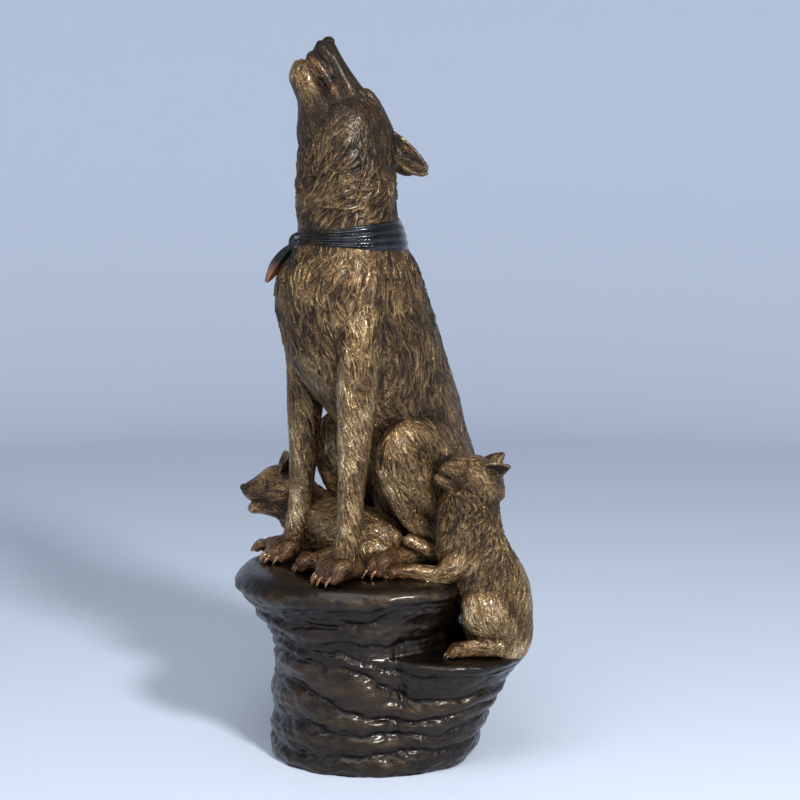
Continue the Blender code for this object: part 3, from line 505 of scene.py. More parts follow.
def furred(forms, cell, reach, seed, dents=(), band=None):
    """A figure's skin with its hair: points, quads and the values that the bronze reads at each point. Near the
    height of the band the tufts lie flat under the neckerchief."""
    points, normals, quads = fuse(forms, cell)
    flow, coat = comb(points, normals, forms, reach)
    # Partly patina, partly painted shade: the ridge measure darkens the colour in the hollows between limbs.
    ridge = ridges(points, normals, quads)
    if band is not None:
        coat[:, 0] *= ease(16 * MM, 46 * MM, np.abs(points[:, 2] - band))
    coat[:, 0] *= bpy.context.scene.bronze_sizes.tuft_lift
    lift, strand, crest = lay_tufts(points, normals, flow, coat, cell**2, seed)
    points = dent(points + lift[:, None] * normals, normals, dents)
    return points, quads, {"strand": strand, "crest": crest, "ridge": ridge, "copper": coat[:, 3],
                           "shade": coat[:, 4]}


def piece(name, mesh, values, slot):
    """A visible piece from a mesh, with its values as point attributes, riding on the one body."""
    for label, data in values.items():
        kind, field = ("FLOAT_VECTOR", "vector") if data.ndim == 2 else ("FLOAT", "value")
        attribute = mesh.attributes.new(label, kind, "POINT")
        attribute.data.foreach_set(field, data.astype(np.float32).ravel())
    mesh.materials.append(material_named(slot))
    body = bpy.data.objects.new(name, mesh)
    bpy.context.scene.collection.objects.link(body)
    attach(body, "root")
    return body


def loops_of(edges):
    """The number of the closed loop that each edge belongs to: every point takes the lowest number among its
    neighbours until nothing changes."""
    label = np.arange(edges.max() + 1)
    while True:
        before = label.copy()
        low = np.minimum(label[edges[:, 0]], label[edges[:, 1]])
        np.minimum.at(label, edges[:, 0], low)
        np.minimum.at(label, edges[:, 1], low)
        label = label[label]
        if (label == before).all():
            return np.unique(label[edges[:, 0]], return_inverse=True)[1]


def skin_piece(name, points, quads, values, slot, keep=slice(None)):
    """The kept faces of a skin as a piece of its own. Where the skin is cut, a fan from the middle of the cut
    closes it inside the bronze, behind a sharp edge."""
    used, corners = np.unique(quads[keep], return_inverse=True)
    corners = corners.reshape(-1, 4)
    points = points[used]
    values = {label: data[used] for label, data in values.items()}
    edges = np.stack((corners, np.roll(corners, -1, axis=1)), -1).reshape(-1, 2)
    codes = edges[:, 0] * len(points) + edges[:, 1]
    rim = edges[~np.isin(codes, edges[:, 1] * len(points) + edges[:, 0])]
    fans = np.empty((0, 3), int)
    if len(rim):
        loop = loops_of(rim)
        centres = np.array([points[rim[loop == k, 0]].mean(axis=0) for k in range(loop.max() + 1)])
        fans = np.stack((rim[:, 1], rim[:, 0], len(points) + loop), -1)
        points = np.vstack((points, centres))
        values = {label: np.concatenate((data, data[:len(centres)])) for label, data in values.items()}
    mesh = mesh_of(name, points, corners, fans)
    if len(rim):
        ends = np.empty(2 * len(mesh.edges), np.int32)
        mesh.edges.foreach_get("vertices", ends)
        ends = np.sort(ends.reshape(-1, 2).astype(np.int64), axis=1)
        rim = np.sort(rim, axis=1)
        sharp = np.isin(ends[:, 0] * len(points) + ends[:, 1], rim[:, 0] * len(points) + rim[:, 1])
        mesh.attributes.new("sharp_edge", "BOOLEAN", "EDGE").data.foreach_set("value", sharp)
    return piece(name, mesh, values, slot)


# ----------------------------------------------------------------------------------------------- materials


def linear(code):
    """An sRGB hex value as the linear red, green and blue that Blender works in."""
    parts = [int(code[k:k + 2], 16) / 255 for k in (1, 3, 5)]
    return [part / 12.92 if part <= 0.04045 else ((part + 0.055) / 1.055) ** 2.4 for part in parts]


def feed(tree, node, inputs):
    """Sets inputs of a node, each to a value or to the output that it reads."""
    for socket, source in inputs.items():
        if isinstance(source, bpy.types.NodeSocket):
            tree.links.new(source, node.inputs[socket])
        else:
            node.inputs[socket].default_value = source


def add_node(tree, kind, inputs, **settings):
    """One node with its settings and its inputs."""
    node = tree.nodes.new(kind)
    for name, value in settings.items():
        setattr(node, name, value)
    feed(tree, node, inputs)
    return node


def new_material(name):
    """An empty node tree that ends in a Principled shader: the material, its tree and the shader."""
    material = bpy.data.materials.new(name)
    material.use_nodes = True
    tree = material.node_tree
    return material, tree, tree.nodes["Principled BSDF"]


def ramp_of(tree, source, stops):
    """A colour ramp that reads the source, with stops of place and linear colour."""
    ramp = add_node(tree, "ShaderNodeValToRGB", {"Fac": source})
    elements = ramp.color_ramp.elements
    while len(elements) < len(stops):
        elements.new(0.5)
    for element, (place, colour) in zip(elements, stops):
        element.position, element.color = place, (*colour, 1)
    return ramp.outputs["Color"]


def mixed(tree, share, first, second):
    """The second colour over the first by this share. A colour is a socket or linear values."""
    first, second = (colour if isinstance(colour, bpy.types.NodeSocket) else (*colour, 1)
                     for colour in (first, second))
    return add_node(tree, "ShaderNodeMix", {0: share, 6: first, 7: second}, data_type="RGBA",
                    clamp_factor=True).outputs[2]


def remapped(tree, source, low, high, to_low=0.0, to_high=1.0):
    """The source carried from one range to another and held at its ends."""
    return add_node(tree, "ShaderNodeMapRange", {"Value": source, "From Min": low, "From Max": high,
                                                 "To Min": to_low, "To Max": to_high}).outputs["Result"]


def weighted(tree, source, weight, base=0.0, clamp=False):
    """The source times the weight, plus the base."""
    return add_node(tree, "ShaderNodeMath", {0: source, 1: weight, 2: base}, operation="MULTIPLY_ADD",
                    use_clamp=clamp).outputs[0]


def noise(tree, place, size, detail, roughness):
    """Noise with features about this size."""
    return add_node(tree, "ShaderNodeTexNoise", {"Vector": place, "Scale": 1 / size, "Detail": detail,
                                                 "Roughness": roughness}).outputs["Fac"]


def bump(tree, height, strength, distance):
    """The normal of a relief of this height."""
    return add_node(tree, "ShaderNodeBump", {"Height": height, "Strength": strength,
                                             "Distance": distance}).outputs["Normal"]


def carried(tree, name, output="Fac"):
    """The values that a piece carries at its points under this name."""
    return add_node(tree, "ShaderNodeAttribute", {}, attribute_name=name).outputs[output]


def place_on(tree):
    """The place on the piece, in its own coordinates."""
    return add_node(tree, "ShaderNodeTexCoord", {}).outputs["Object"]


def patinated_bronze():
    """Cast bronze with a hot brown patina, rubbed back on the ridges of the hair: golden ochre strands that
    shine, near-black grooves between tufts, and red copper where hands wear paws and lips. Painted shade
    darkens the colour in the hollows between limbs."""
    sizes = bpy.context.scene.bronze_sizes
    colours = bpy.context.scene.bronze_colours
    material, tree, shader = new_material("finish_patinated_bronze")
    place, strand = place_on(tree), carried(tree, "strand", "Vector")
    crest, ridge, copper, shade = (carried(tree, name) for name in ("crest", "ridge", "copper", "shade"))

    # Seven readings of fine noise along the strand make streaks about 25 mm long, one engraved hair apart.
    total = 0.0
    for step in range(-3, 4):
        shifted = add_node(tree, "ShaderNodeVectorMath", {0: strand, 1: (step * 4 * MM,) * 3, 2: place},
                           operation="MULTIPLY_ADD").outputs["Vector"]
        total = weighted(tree, noise(tree, shifted, sizes.hair_pitch, 0.5, 0.5), 1.0, total)
    streak = remapped(tree, total, 7 * 0.43, 7 * 0.57)
    cloud = noise(tree, place, 60 * MM, 3.0, 0.6)

    # Tone: how far the patina is rubbed back, from 0 in the grooves to 1 on the ridges, and painted shade, low
    # in the hollows between limbs through the ridge measure.
    tone = remapped(tree, cloud, 0.3, 0.7, -0.38, -0.02)
    for source, weight in ((crest, 0.42), (streak, 0.42), (ridge, 0.45)):
        tone = weighted(tree, source, weight, tone)
    tone = weighted(tree, shade, -0.35, tone, clamp=True)
    colour = ramp_of(tree, tone, ((0.0, colours.groove), (0.34, colours.brown), (0.68, colours.ochre),
                                  (1.0, colours.gold)))
    colour = mixed(tree, shade, colour, colours.dark)
    rub = weighted(tree, copper, remapped(tree, tone, 0.1, 0.6))
    feed(tree, shader, {
        "Base Color": mixed(tree, rub, colour, colours.copper),
        "Roughness": remapped(tree, tone, 0.1, 0.9, 0.55, 0.24),
        "Normal": bump(tree, streak, 1.0, 1.8 * MM),
        "Metallic": 0.85, "Coat Weight": 0.22, "Coat Roughness": 0.30,
    })
    return material


def rock_bronze():
    """The same casting under a black-brown patina that is waxed, so the stone shapes shine, with a hammered
    grain a few millimetres across and ochre rubbed through on the ridges."""
    colours = bpy.context.scene.bronze_colours
    material, tree, shader = new_material("finish_rock_bronze")
    stretched = add_node(tree, "ShaderNodeMapping", {"Vector": place_on(tree), "Scale": (1, 1, 2.4)}).outputs[0]
    cloud, grain = noise(tree, stretched, 55 * MM, 5.0, 0.62), noise(tree, stretched, 9 * MM, 4.0, 0.6)
    rub = remapped(tree, weighted(tree, cloud, 1.0, carried(tree, "crest")), 1.05, 1.7)
    colour = mixed(tree, remapped(tree, grain, 0.35, 0.7), colours.rock, colours.rock_brown)
    feed(tree, shader, {
        "Base Color": mixed(tree, rub, colour, colours.rock_rub),
        "Roughness": remapped(tree, cloud, 0.3, 0.7, 0.26, 0.42),
        "Normal": bump(tree, grain, 0.9, 2.2 * MM),
        "Metallic": 0.85, "Coat Weight": 0.4, "Coat Roughness": 0.2,
    })
    return material


def scarf_bronze():
    """Smooth-chased bronze under a black-green patina, polished by hands: dark and glossy, with the tip of a tail
    rubbed to a reddish brown."""
    colours = bpy.context.scene.bronze_colours
    material, tree, shader = new_material("finish_scarf_bronze")
    cloud = noise(tree, place_on(tree), 22 * MM, 4.0, 0.6)
    colour = mixed(tree, remapped(tree, cloud, 0.35, 0.75), colours.scarf, colours.scarf_grey)
    feed(tree, shader, {
        "Base Color": mixed(tree, carried(tree, "copper"), colour, colours.copper),
        "Roughness": remapped(tree, cloud, 0.3, 0.7, 0.24, 0.38),
        "Normal": bump(tree, cloud, 0.5, 1.0 * MM),
        "Metallic": 0.85, "Coat Weight": 0.7, "Coat Roughness": 0.14,
    })
    return material


def material_named(name):
    """The finish for this slot, made once. Its name differs from the slot's own plain material."""
    makers = {"patinated_bronze": patinated_bronze, "rock_bronze": rock_bronze, "scarf_bronze": scarf_bronze}
    return bpy.data.materials.get("finish_" + name) or makers[name]()


# -------------------------------------------------------------------------------------------------- wolf

WOLF_FORWARD = heading(WOLF_HEADING)
WOLF_LEFT = np.cross(UP, WOLF_FORWARD)


def wolf_point(forward, left, height):
    """A point from millimetres ahead of the wolf's spot, to its left and above the rock."""
    return np.array((*WOLF_SPOT, ROCK_TOP)) + MM * (forward * WOLF_FORWARD + left * WOLF_LEFT + height * UP)


def scarf_centre():
    """The middle of the neckerchief's band."""
    return wolf_point(30, 0, 0) + SCARF_HEIGHT * UP


def wolf_rows(rows, mirror=1):
    """Rows of the wolf's own frame as world centres and half-widths."""
    return [(*wolf_point(f, mirror * s, z), MM * a, MM * b) for f, s, z, a, b in rows]


def paw(heel, ahead, across, width, height, toe, coats=("paw", "toe"), nail=1.0):
    """A palm, four arched toes and their claws, from the heel on the ground, the way ahead and the sizes. Gives
    the forms of the paw and those of the claws."""
    forms, claws = [], []
    long = np.linalg.norm(ahead)

    def at(share, side, rise):
        return heel + share * ahead + side * across + rise * height * UP

    palm = [(*at(0, 0, 0.30), 0.34 * width, 0.30 * height), (*at(0.25, 0, 0.50), 0.42 * width, 0.50 * height),
            (*at(0.60, 0, 0.46), 0.45 * width, 0.44 * height)]
    forms.append(loft(palm, across, coats[:1], sides=28))
    for share, reach in ((-0.38, 0.90), (-0.13, 1.0), (0.13, 1.0), (0.38, 0.90)):
        side = share * width
        rows = [
            (*at(0.45, 0.8 * side, 0.62), toe, toe), (*at(0.68, side, 0.62), 1.08 * toe, 1.05 * toe),
            (*at(reach - 0.14, side, 0.40), toe, 1.05 * toe), (*at(reach, side, 0.20), 0.62 * toe, 0.62 * toe),
        ]
        forms.append(loft(rows, across, coats, sides=24, spacing=3 * MM))
        tip = reach + 0.38 * toe / long
        nails = [
            (*at(tip - 0.10, 1.02 * side, 0.36), 0.30 * toe, 0.30 * toe),
            (*at(tip, 1.04 * side, 0.30), 0.27 * toe, 0.30 * toe),
            (*at(tip + 0.08 * nail, 1.05 * side, 0.16), 0.16 * toe, 0.18 * toe),
            (*at(tip + 0.10 * nail, 1.05 * side, 0.06), 0.05 * toe, 0.06 * toe),
        ]
        claws.append(loft(nails, across, ("toe",), sides=14, spacing=2 * MM))
    return forms, claws


def wolf_body_forms():
    """Trunk, forelegs, haunches, hind feet and tail of the wolf, and the claws of its paws."""
    forms = [loft(wolf_rows(TRUNK), WOLF_FORWARD, ("thigh", "flank", "flank", "chest", "chest"), normal=UP,
                  sides=96, spacing=7 * MM, lie=-UP)]
    claws = []
    for side in (1, -1):
        lead = side * LEFT_FORELEG_LEAD
        legs = [(f + lead * min(1, (640 - z) / 300), s, z, a, b) for f, s, z, a, b in FORELEG]
        forms.append(loft(wolf_rows(legs, side), WOLF_LEFT, ("flank", "flank", "leg", "leg", "leg"), sides=48,
                          lie=-UP - 0.5 * WOLF_FORWARD))
        haunch = [(*wolf_point(f, side * s, z), MM * b, MM * a) for f, s, z, a, b in HAUNCH]
        forms.append(loft(haunch, WOLF_LEFT, ("thigh",), normal=WOLF_FORWARD, sides=72,
                          lie=-UP - 0.35 * WOLF_FORWARD))
        forms.append(loft(wolf_rows(SHIN, side), WOLF_LEFT, ("leg",)))
        forms.append(loft(wolf_rows(HIND_FOOT, side), WOLF_LEFT, ("leg", "paw")))
        for heel, width in ((76 + lead, 68), (-28, 70)):
            ahead = 96 * MM * (WOLF_FORWARD + side * 0.06 * WOLF_LEFT)
            foot, nails = paw(wolf_point(heel, side * LEG_OUT, -2), ahead, WOLF_LEFT, width * MM, 58 * MM,
                              WOLF_TOE)
            forms += foot
            claws += nails
    tail = [(*wolf_point(f, s, z), r * MM, 0.8 * r * MM) for f, s, z, r in TAIL]
    forms.append(loft(tail, UP + 0.01 * WOLF_FORWARD, ("thigh", "flank", "mane")))
    return forms, claws


def head_axes(heading_angle, raise_angle):
    """A head's ways along its nose, down and to its left, from where it points."""
    ahead = heading(heading_angle)
    along = math.cos(raise_angle) * ahead + math.sin(raise_angle) * UP
    down = math.sin(raise_angle) * ahead - math.cos(raise_angle) * UP
    return along, down, np.cross(UP, ahead)


def head_rows(rows, origin, along, down):
    """Rows of along, down, half-height and half-width in a head's frame as world centres and half-widths."""
    return [(*(origin + MM * (a * along + d * down)), MM * width, MM * height) for a, d, height, width in rows]


def ear(base, along, across, face, length, width, wall, coat, taper=0.5, cup=0.34):
    """A pointed leaf. Its half-width is width / 2 (1 - v^1.7)^taper at the share v of its length, and it is
    cupped towards face by the square of the share across."""
    along, across, face = unit(along), unit(across), unit(face)
    v = np.linspace(-0.25, 1, 40)[:, None]
    u = np.linspace(-1, 1, 32)[None]
    half = 0.5 * width * np.clip(1 - np.clip(v, 0, 1) ** 1.7, 0.02, 1) ** taper
    sink = cup * width * (u**2 - 0.5) * (1 - 0.6 * np.clip(v, 0, 1))
    grid = base + (length * v)[..., None] * along + (half * u)[..., None] * across + sink[..., None] * face
    return shell_sheet(grid, wall * (1 - 0.35 * u**2) * np.ones_like(v), along, coat)


def wolf_head_forms():
    """The wolf's neck and head: skull, jaw, tongue, lips, nose, brows, eyelids and ears, and the dents of the
    nostrils."""
    along, down, left = head_axes(HEAD_HEADING, HEAD_RAISE)
    neck = wolf_point(36, 0, 0)
    origin = np.array((neck[0], neck[1], ROCK_TOP + HEAD_HEIGHT)) - 37 * MM * heading(HEAD_HEADING)
    axes = (along, left, down)

    def at(a, d, w):
        return origin + MM * (a * along + d * down + w * left)

    def body(rows, coat, sides, **settings):
        return loft(head_rows(rows, origin, along, down), left, coat, normal=along, sides=sides, spacing=4 * MM,
                    **settings)

    forms = [
        loft(wolf_rows(NECK), WOLF_FORWARD, ("mane", "mane", "mane", "cheek", "face"), normal=UP, sides=80,
             spacing=7 * MM, lie=1.6 * heading(HEAD_HEADING) - UP),
        body(SKULL, ("cheek", "face", "face", "face", "muzzle", "muzzle"), 64, lie=-1),
        body(JAW, ("cheek", "face", "face", "chin", "chin"), 56, square=2.3, lie=-1),
        body(CHEEK, ("face", "face", "face"), 56, lie=-1),
        ball(at(116, 54, 0), (9 * MM, 15 * MM, 13 * MM), axes, ("muzzle",)),
        body(TONGUE, ("face", "mouth", "mouth"), 36),
        ball(at(119, 11, 0), (13 * MM, 16 * MM, 14 * MM), axes, ("nose",)),
    ]
    dents = []
    for side in (1, -1):
        forms.append(ball(at(-25, 6, side * 34), (30 * MM, 20 * MM, 13 * MM), axes, ("face",), lie=-along))
        forms.append(ball(at(98, 30, side * 19), (28 * MM, 15 * MM, 15 * MM), axes, ("muzzle",), lie=-along))
        lip = [(*at(a, d, side * w), 2.3 * MM, 2.3 * MM) for a, d, w in LIP]
        forms.append(loft(lip, left, ("muzzle", "muzzle", "chin"), sides=16, spacing=3 * MM))
        forms.append(ear(at(-146, 14, side * 48), -0.90 * along - 0.36 * down + side * 0.22 * left,
                         0.84 * along - 0.50 * down - side * 0.25 * left, side * left + 0.3 * along,
                         63 * MM, 70 * MM, 11 * MM, "ear", cup=0.2))
        # The closed eye, as a lid below the brow.
        forms.append(ball(at(-6, 19, side * 45), (17 * MM, 11 * MM, 11 * MM), axes, ("face",), lie=-along))
        dents.append((at(133, 12, side * 9), 5 * MM, 5 * MM))
    return forms, dents


# -------------------------------------------------------------------------------------------------- cubs


def cub_head(ground, place, ahead_angle, raise_angle, ear_leans, gape):
    """A cub's skull, jaw, nose, ears and eyelids from its place between the ears above the ground, and the
    dents of its eyes."""
    origin = place + ground * UP
    along, down, left = head_axes(ahead_angle, raise_angle)
    axes = (along, left, down)

    def at(a, d, w):
        return origin + MM * (a * along + d * down + w * left)

    jaw = [(a, d + gape * max(0, a + 24) / 90, h, w) for a, d, h, w in CUB_JAW]
    forms = [
        loft(head_rows(CUB_SKULL, origin, along, down), left,
             ("ruff", "cub", "cub_face", "cub_face", "cub_muzzle", "cub_muzzle"), normal=along, sides=48,
             spacing=3 * MM, lie=-1),
        loft(head_rows(jaw, origin, along, down), left, ("ruff", "cub_face", "cub_muzzle", "cub_muzzle"),
             normal=along, sides=40, spacing=3 * MM, lie=-1),
        ball(at(78, -17, 0), (9 * MM, 11 * MM, 8 * MM), axes, ("nose",)),
    ]
    dents = []
    for side, lean in zip((1, -1), ear_leans):
        forms.append(ball(at(33, -16, side * 26), (9 * MM, 6 * MM, 6 * MM), axes, ("cub_face",)))
        forms.append(ear(at(-24, -36, side * 30), lean[0] * along + lean[1] * down + side * lean[2] * left,
                         lean[1] * along - lean[0] * down - side * 0.35 * left, side * left + 0.35 * along,
                         40 * MM, 42 * MM, 8 * MM, "ear", taper=0.9))
        dents.append((at(36, -12, side * 34), 4 * MM, 3 * MM))
    return forms, dents


def limb(rows, ground, side, coat=("cub", "cub_leg"), sides=32):
    """A limb from rows of X, Y, height above its ground and two half-widths, in millimetres."""
    return loft([(MM * x, MM * y, ground + MM * z, MM * a, MM * b) for x, y, z, a, b in rows],
                np.asarray(side, float), coat, sides=sides, spacing=4 * MM)


def lying_cub_forms():
    """The cub that lies between the wolf's forelegs, its claws and the dents of its eyes."""
    ground = ROCK_TOP
    across = (0.42, -0.90, 0.0)
    trunk = ((52, -32, 40, 22, 24), (30, -20, 58, 48, 46), (-10, 0, 68, 60, 58), (-60, 40, 70, 60, 62),
             (-105, 88, 78, 56, 62), (-142, 122, 94, 54, 60), (-170, 132, 112, 52, 58), (-194, 130, 124, 44, 46))
    trunk = [(MM * x, MM * y, ground + MM * z, MM * a, MM * b) for x, y, z, a, b in trunk]
    forms = [
        loft(trunk, np.array(across), ("cub", "cub", "cub", "ruff", "ruff"), sides=56, lie=-1),
        limb(((6, -50, 66, 20, 32), (12, -56, 46, 26, 42), (22, -52, 34, 22, 34)), ground, across),
        limb(((34, -62, 20, 14, 16), (0, -76, 14, 15, 14), (-22, -80, 13, 15, 13)), ground, across),
        limb(((-72, 14, 64, 24, 32), (-58, -16, 40, 21, 24), (-92, -34, 26, 22, 21), (-126, -40, 18, 24, 17)),
             ground, across),
        limb(((-148, 130, 60, 22, 30), (-160, 152, 34, 19, 20), (-196, 152, 20, 16, 16), (-232, 146, 16, 16, 14)),
             ground, across),
        limb(((56, -24, 40, 14, 14), (84, -2, 22, 15, 15), (96, 38, 16, 14, 14), (84, 72, 14, 8, 8)), ground,
             (0, 0, 1), coat=("cub",)),
    ]
    claws = []
    for heel, ahead, scale in (((-106, -42), (-50, -6), 1.45), ((-14, -80), (-36, -2), 1.0),
                               ((-222, 142), (-40, -3), 1.0)):
        foot, nails = paw(np.array((MM * heel[0], MM * heel[1], ground)), MM * np.array((*ahead, 0)),
                          np.array((0.0, -1.0, 0.0)), scale * 40 * MM, scale * 27 * MM, scale * CUB_TOE,
                          ("cub_paw", "toe"))
        forms += foot
        claws += nails
    head, dents = cub_head(ground, *LYING_CUB_HEAD, ((-0.2, -1, 0.2), (0.0, -1, 0.2)), 4)
    return forms + head, claws, dents


def sitting_cub_forms():
    """The cub that sits on the ledge with a forepaw on the rock, its claws and the dents of its eyes."""
    seat, shelf = LEDGE_TOP, ROCK_TOP
    trunk = ((268, -92, -6, 58, 58), (266, -92, 30, 70, 64), (262, -92, 74, 74, 66), (256, -92, 112, 78, 64),
             (240, -92, 154, 85, 62), (221, -92, 194, 84, 62), (210, -92, 226, 75, 61), (205, -92, 258, 67, 60),
             (203, -93, 290, 62, 59), (203, -94, 316, 60, 57), (206, -95, 342, 54, 52))
    rows = [(MM * x, MM * y, seat + MM * z, MM * a, MM * b) for x, y, z, a, b in trunk]
    forms = [loft(rows, np.array((1.0, 0.0, 0.0)), ("cub", "cub", "cub", "ruff", "ruff"), normal=UP, sides=64,
                  lie=-UP)]
    claws = []
    for side in (1, -1):
        haunch = ((186, 50, 92, 20, 16), (198, 52, 94, 40, 28), (232, 50, 88, 54, 38), (268, 44, 76, 52, 38),
                  (302, 34, 62, 34, 28))
        rows = [(MM * x, MM * (-92 - side * y), seat + MM * z, MM * b, MM * a) for x, y, z, a, b in haunch]
        forms.append(loft(rows, np.array((0.0, -1.0, 0.0)), ("cub",), normal=np.array((-1.0, 0.0, 0.0)),
                          lie=(0.3, 0.0, -1.0)))
        foot = ((270, 62, 22, 18, 20), (222, 66, 22, 18, 19), (184, 68, 18, 18, 16))
        forms.append(limb([(x, -92 - side * y, z, a, b) for x, y, z, a, b in foot], seat, (0, -1, 0),
                          ("cub", "cub_leg")))
        feet, nails = paw(np.array((MM * 204, MM * (-92 - side * 68), seat)), np.array((-46 * MM, 0, 0)),
                          np.array((0.0, -1.0, 0.0)), 44 * MM, 34 * MM, CUB_TOE, ("cub_paw", "toe"))
        forms += feet
        claws += nails
    forms += [
        limb(((206, -120, 62, 26, 34), (176, -134, 34, 24, 28), (142, -128, 10, 20, 22), (98, -120, 14, 18, 18),
              (62, -116, 14, 18, 16)), shelf, (0, -1, 0)),
        limb(((200, -66, 66, 24, 30), (164, -62, 36, 19, 22), (130, -62, 42, 16, 17), (98, -62, 60, 15, 15),
              (74, -62, 72, 15, 13)), shelf, (0, -1, 0)),
        limb(((312, -70, 22, 16, 18), (324, -42, 16, 15, 15), (314, -8, 14, 13, 13), (288, 10, 13, 8, 8)), seat,
             (0, 0, 1), ("cub",)),
    ]
    feet, nails = paw(np.array((MM * 74, MM * -116, shelf)), np.array((-40 * MM, 0, 0)),
                      np.array((0.0, -1.0, 0.0)), 42 * MM, 28 * MM, CUB_TOE, ("cub_paw", "toe"))
    head, dents = cub_head(seat, *SITTING_CUB_HEAD, ((-0.68, -0.68, 0.3), (-0.35, -0.9, 0.2)), -3)
    return forms + feet + head, claws + nails, dents


# ------------------------------------------------------------------------------------------- neckerchief


def neckerchief_forms():
    """A band round the neck, a knot and two tails. The band is a closed ring: at the turn a round the neck and b
    round its section, the rise is half sin(b) and the radius swings by folds that fade from the knot to the
    nape. A tail is a leaf with a crease along its middle."""
    knot_side = heading(KNOT_BEARING)
    nape_side = np.cross(UP, knot_side)
    centre = scarf_centre()
    turn = np.linspace(0, 2 * math.pi, 300, endpoint=False)[:, None]
    round_ = np.linspace(0, 2 * math.pi, 96, endpoint=False)[None]
    widen = 0.5 - 0.5 * np.cos(turn)
    half = 0.5 * MM * (30 + 38 * widen**0.7)
    share = np.sin(round_)
    rise = half * share
    wave = 4 * math.pi * share + 1.3 * np.sin(turn) + 0.5 * np.sin(2 * turn)
    fold = 4.6 * MM * (1 - 0.8 * widen) * (1 - 2 * np.abs(np.sin(0.5 * wave)) ** 0.8)
    fold = fold * ease(0.0, 0.25, np.cos(round_))
    radius = 108 * MM + 3 * MM * widen - 0.26 * rise + 7 * MM * np.cos(round_) + fold
    lift = rise - 4 * MM + 6 * MM * widen
    level = np.cos(turn)[..., None] * knot_side + np.sin(turn)[..., None] * nape_side
    points = (centre + radius[..., None] * level + lift[..., None] * UP).reshape(-1, 3)
    loops, sides = radius.shape
    loop, side = np.meshgrid(np.arange(loops), np.arange(sides), indexing="ij")
    after, beside = (loop + 1) % loops, (side + 1) % sides
    quads = np.stack((loop * sides + side, loop * sides + beside, after * sides + beside, after * sides + side),
                     -1).reshape(-1, 4)
    quads, fans = outward(points, quads, np.empty((0, 3), int))
    plain = np.zeros((len(points), 3)), np.tile(np.array(COATS["nose"]), (len(points), 1))
    forms = [Form(points, quads, fans, *plain)]

    knot = centre + KNOT_REACH * knot_side - 12 * MM * UP
    forms.append(ball(knot, (19 * MM, 16 * MM, 17 * MM), (UP, nape_side, knot_side), ("nose",)))
    for way, twist, coat in (
        (0.60 * knot_side - 0.80 * UP - 0.16 * nape_side, 0.8 * knot_side + 0.6 * UP + 0.4 * nape_side, "mouth"),
        (0.16 * knot_side - 0.74 * UP + 0.66 * nape_side, knot_side + 0.3 * UP, "nose"),
    ):
        way = unit(way)
        across = unit(twist - (twist @ way) * way)
        v = np.linspace(0, 1, 60)[:, None]
        u = np.linspace(-1, 1, 36)[None]
        half = 15 * MM * np.sin(math.pi * np.clip(v, 0.10, 0.97)) ** 0.7
        crease = 9 * MM * np.abs(u) * np.sin(math.pi * v) + 1.2 * MM * np.cos(9 * u) * np.sin(math.pi * v)
        grid = (knot + (SCARF_TAIL_LENGTH * v)[..., None] * way + (half * u)[..., None] * across
                + crease[..., None] * np.cross(way, across))
        forms.append(shell_sheet(grid, 10 * MM * np.ones_like(v * u), way, coat))
    return forms


# ---------------------------------------------------------------------------------------------------- rock


def around(values, bearing):
    """The values at the bearings, joined by a closed Catmull-Rom curve and read at these angles."""
    known = np.array([*(b - 360 for b in BEARINGS[-2:]), *BEARINGS, *(b + 360 for b in BEARINGS[:3])], float)
    values = np.concatenate((values[..., -2:], values, values[..., :3]), axis=-1)
    degrees = np.degrees(bearing) % 360
    index = np.searchsorted(known, degrees, side="right")
    before, start, end, after = (values[..., index + k] for k in (-2, -1, 0, 1))
    t = (degrees - known[index - 1]) / (known[index] - known[index - 1])
    return 0.5 * (2 * start + (end - before) * t + (2 * before - 5 * start + 4 * end - after) * t**2
                  + (3 * start - before - 3 * end + after) * t**3)


def beds(bearing, height):
    """How far the beds of stone stand out. At the share t of the way from one crease to the next, a bed stands
    out by its step and its swell times (sqrt(sin(pi t)) - 0.55)."""
    wave = 3 * MM * np.sin(7 * bearing + 20 * height) + 2 * MM * np.sin(17 * bearing - 31 * height + 1)
    height = np.clip(height + wave, 0, ROCK_TOP)
    creases = MM * around(np.array(CREASES, float), bearing)
    edges = np.vstack((np.full((1, len(bearing)), -1 * MM), creases, np.full((1, len(bearing)), ROCK_TOP + MM)))
    bed = (height > creases[:, None]).sum(axis=0)
    column = np.broadcast_to(np.arange(len(bearing)), bed.shape)
    low, high = edges[bed, column], edges[bed + 1, column]
    swell = np.sqrt(np.sin(math.pi * np.clip((height - low) / (high - low), 0, 1))) - 0.55
    return MM * (np.array(BED_STEP, float)[bed] + np.array(BED_SWELL, float)[bed] * swell)


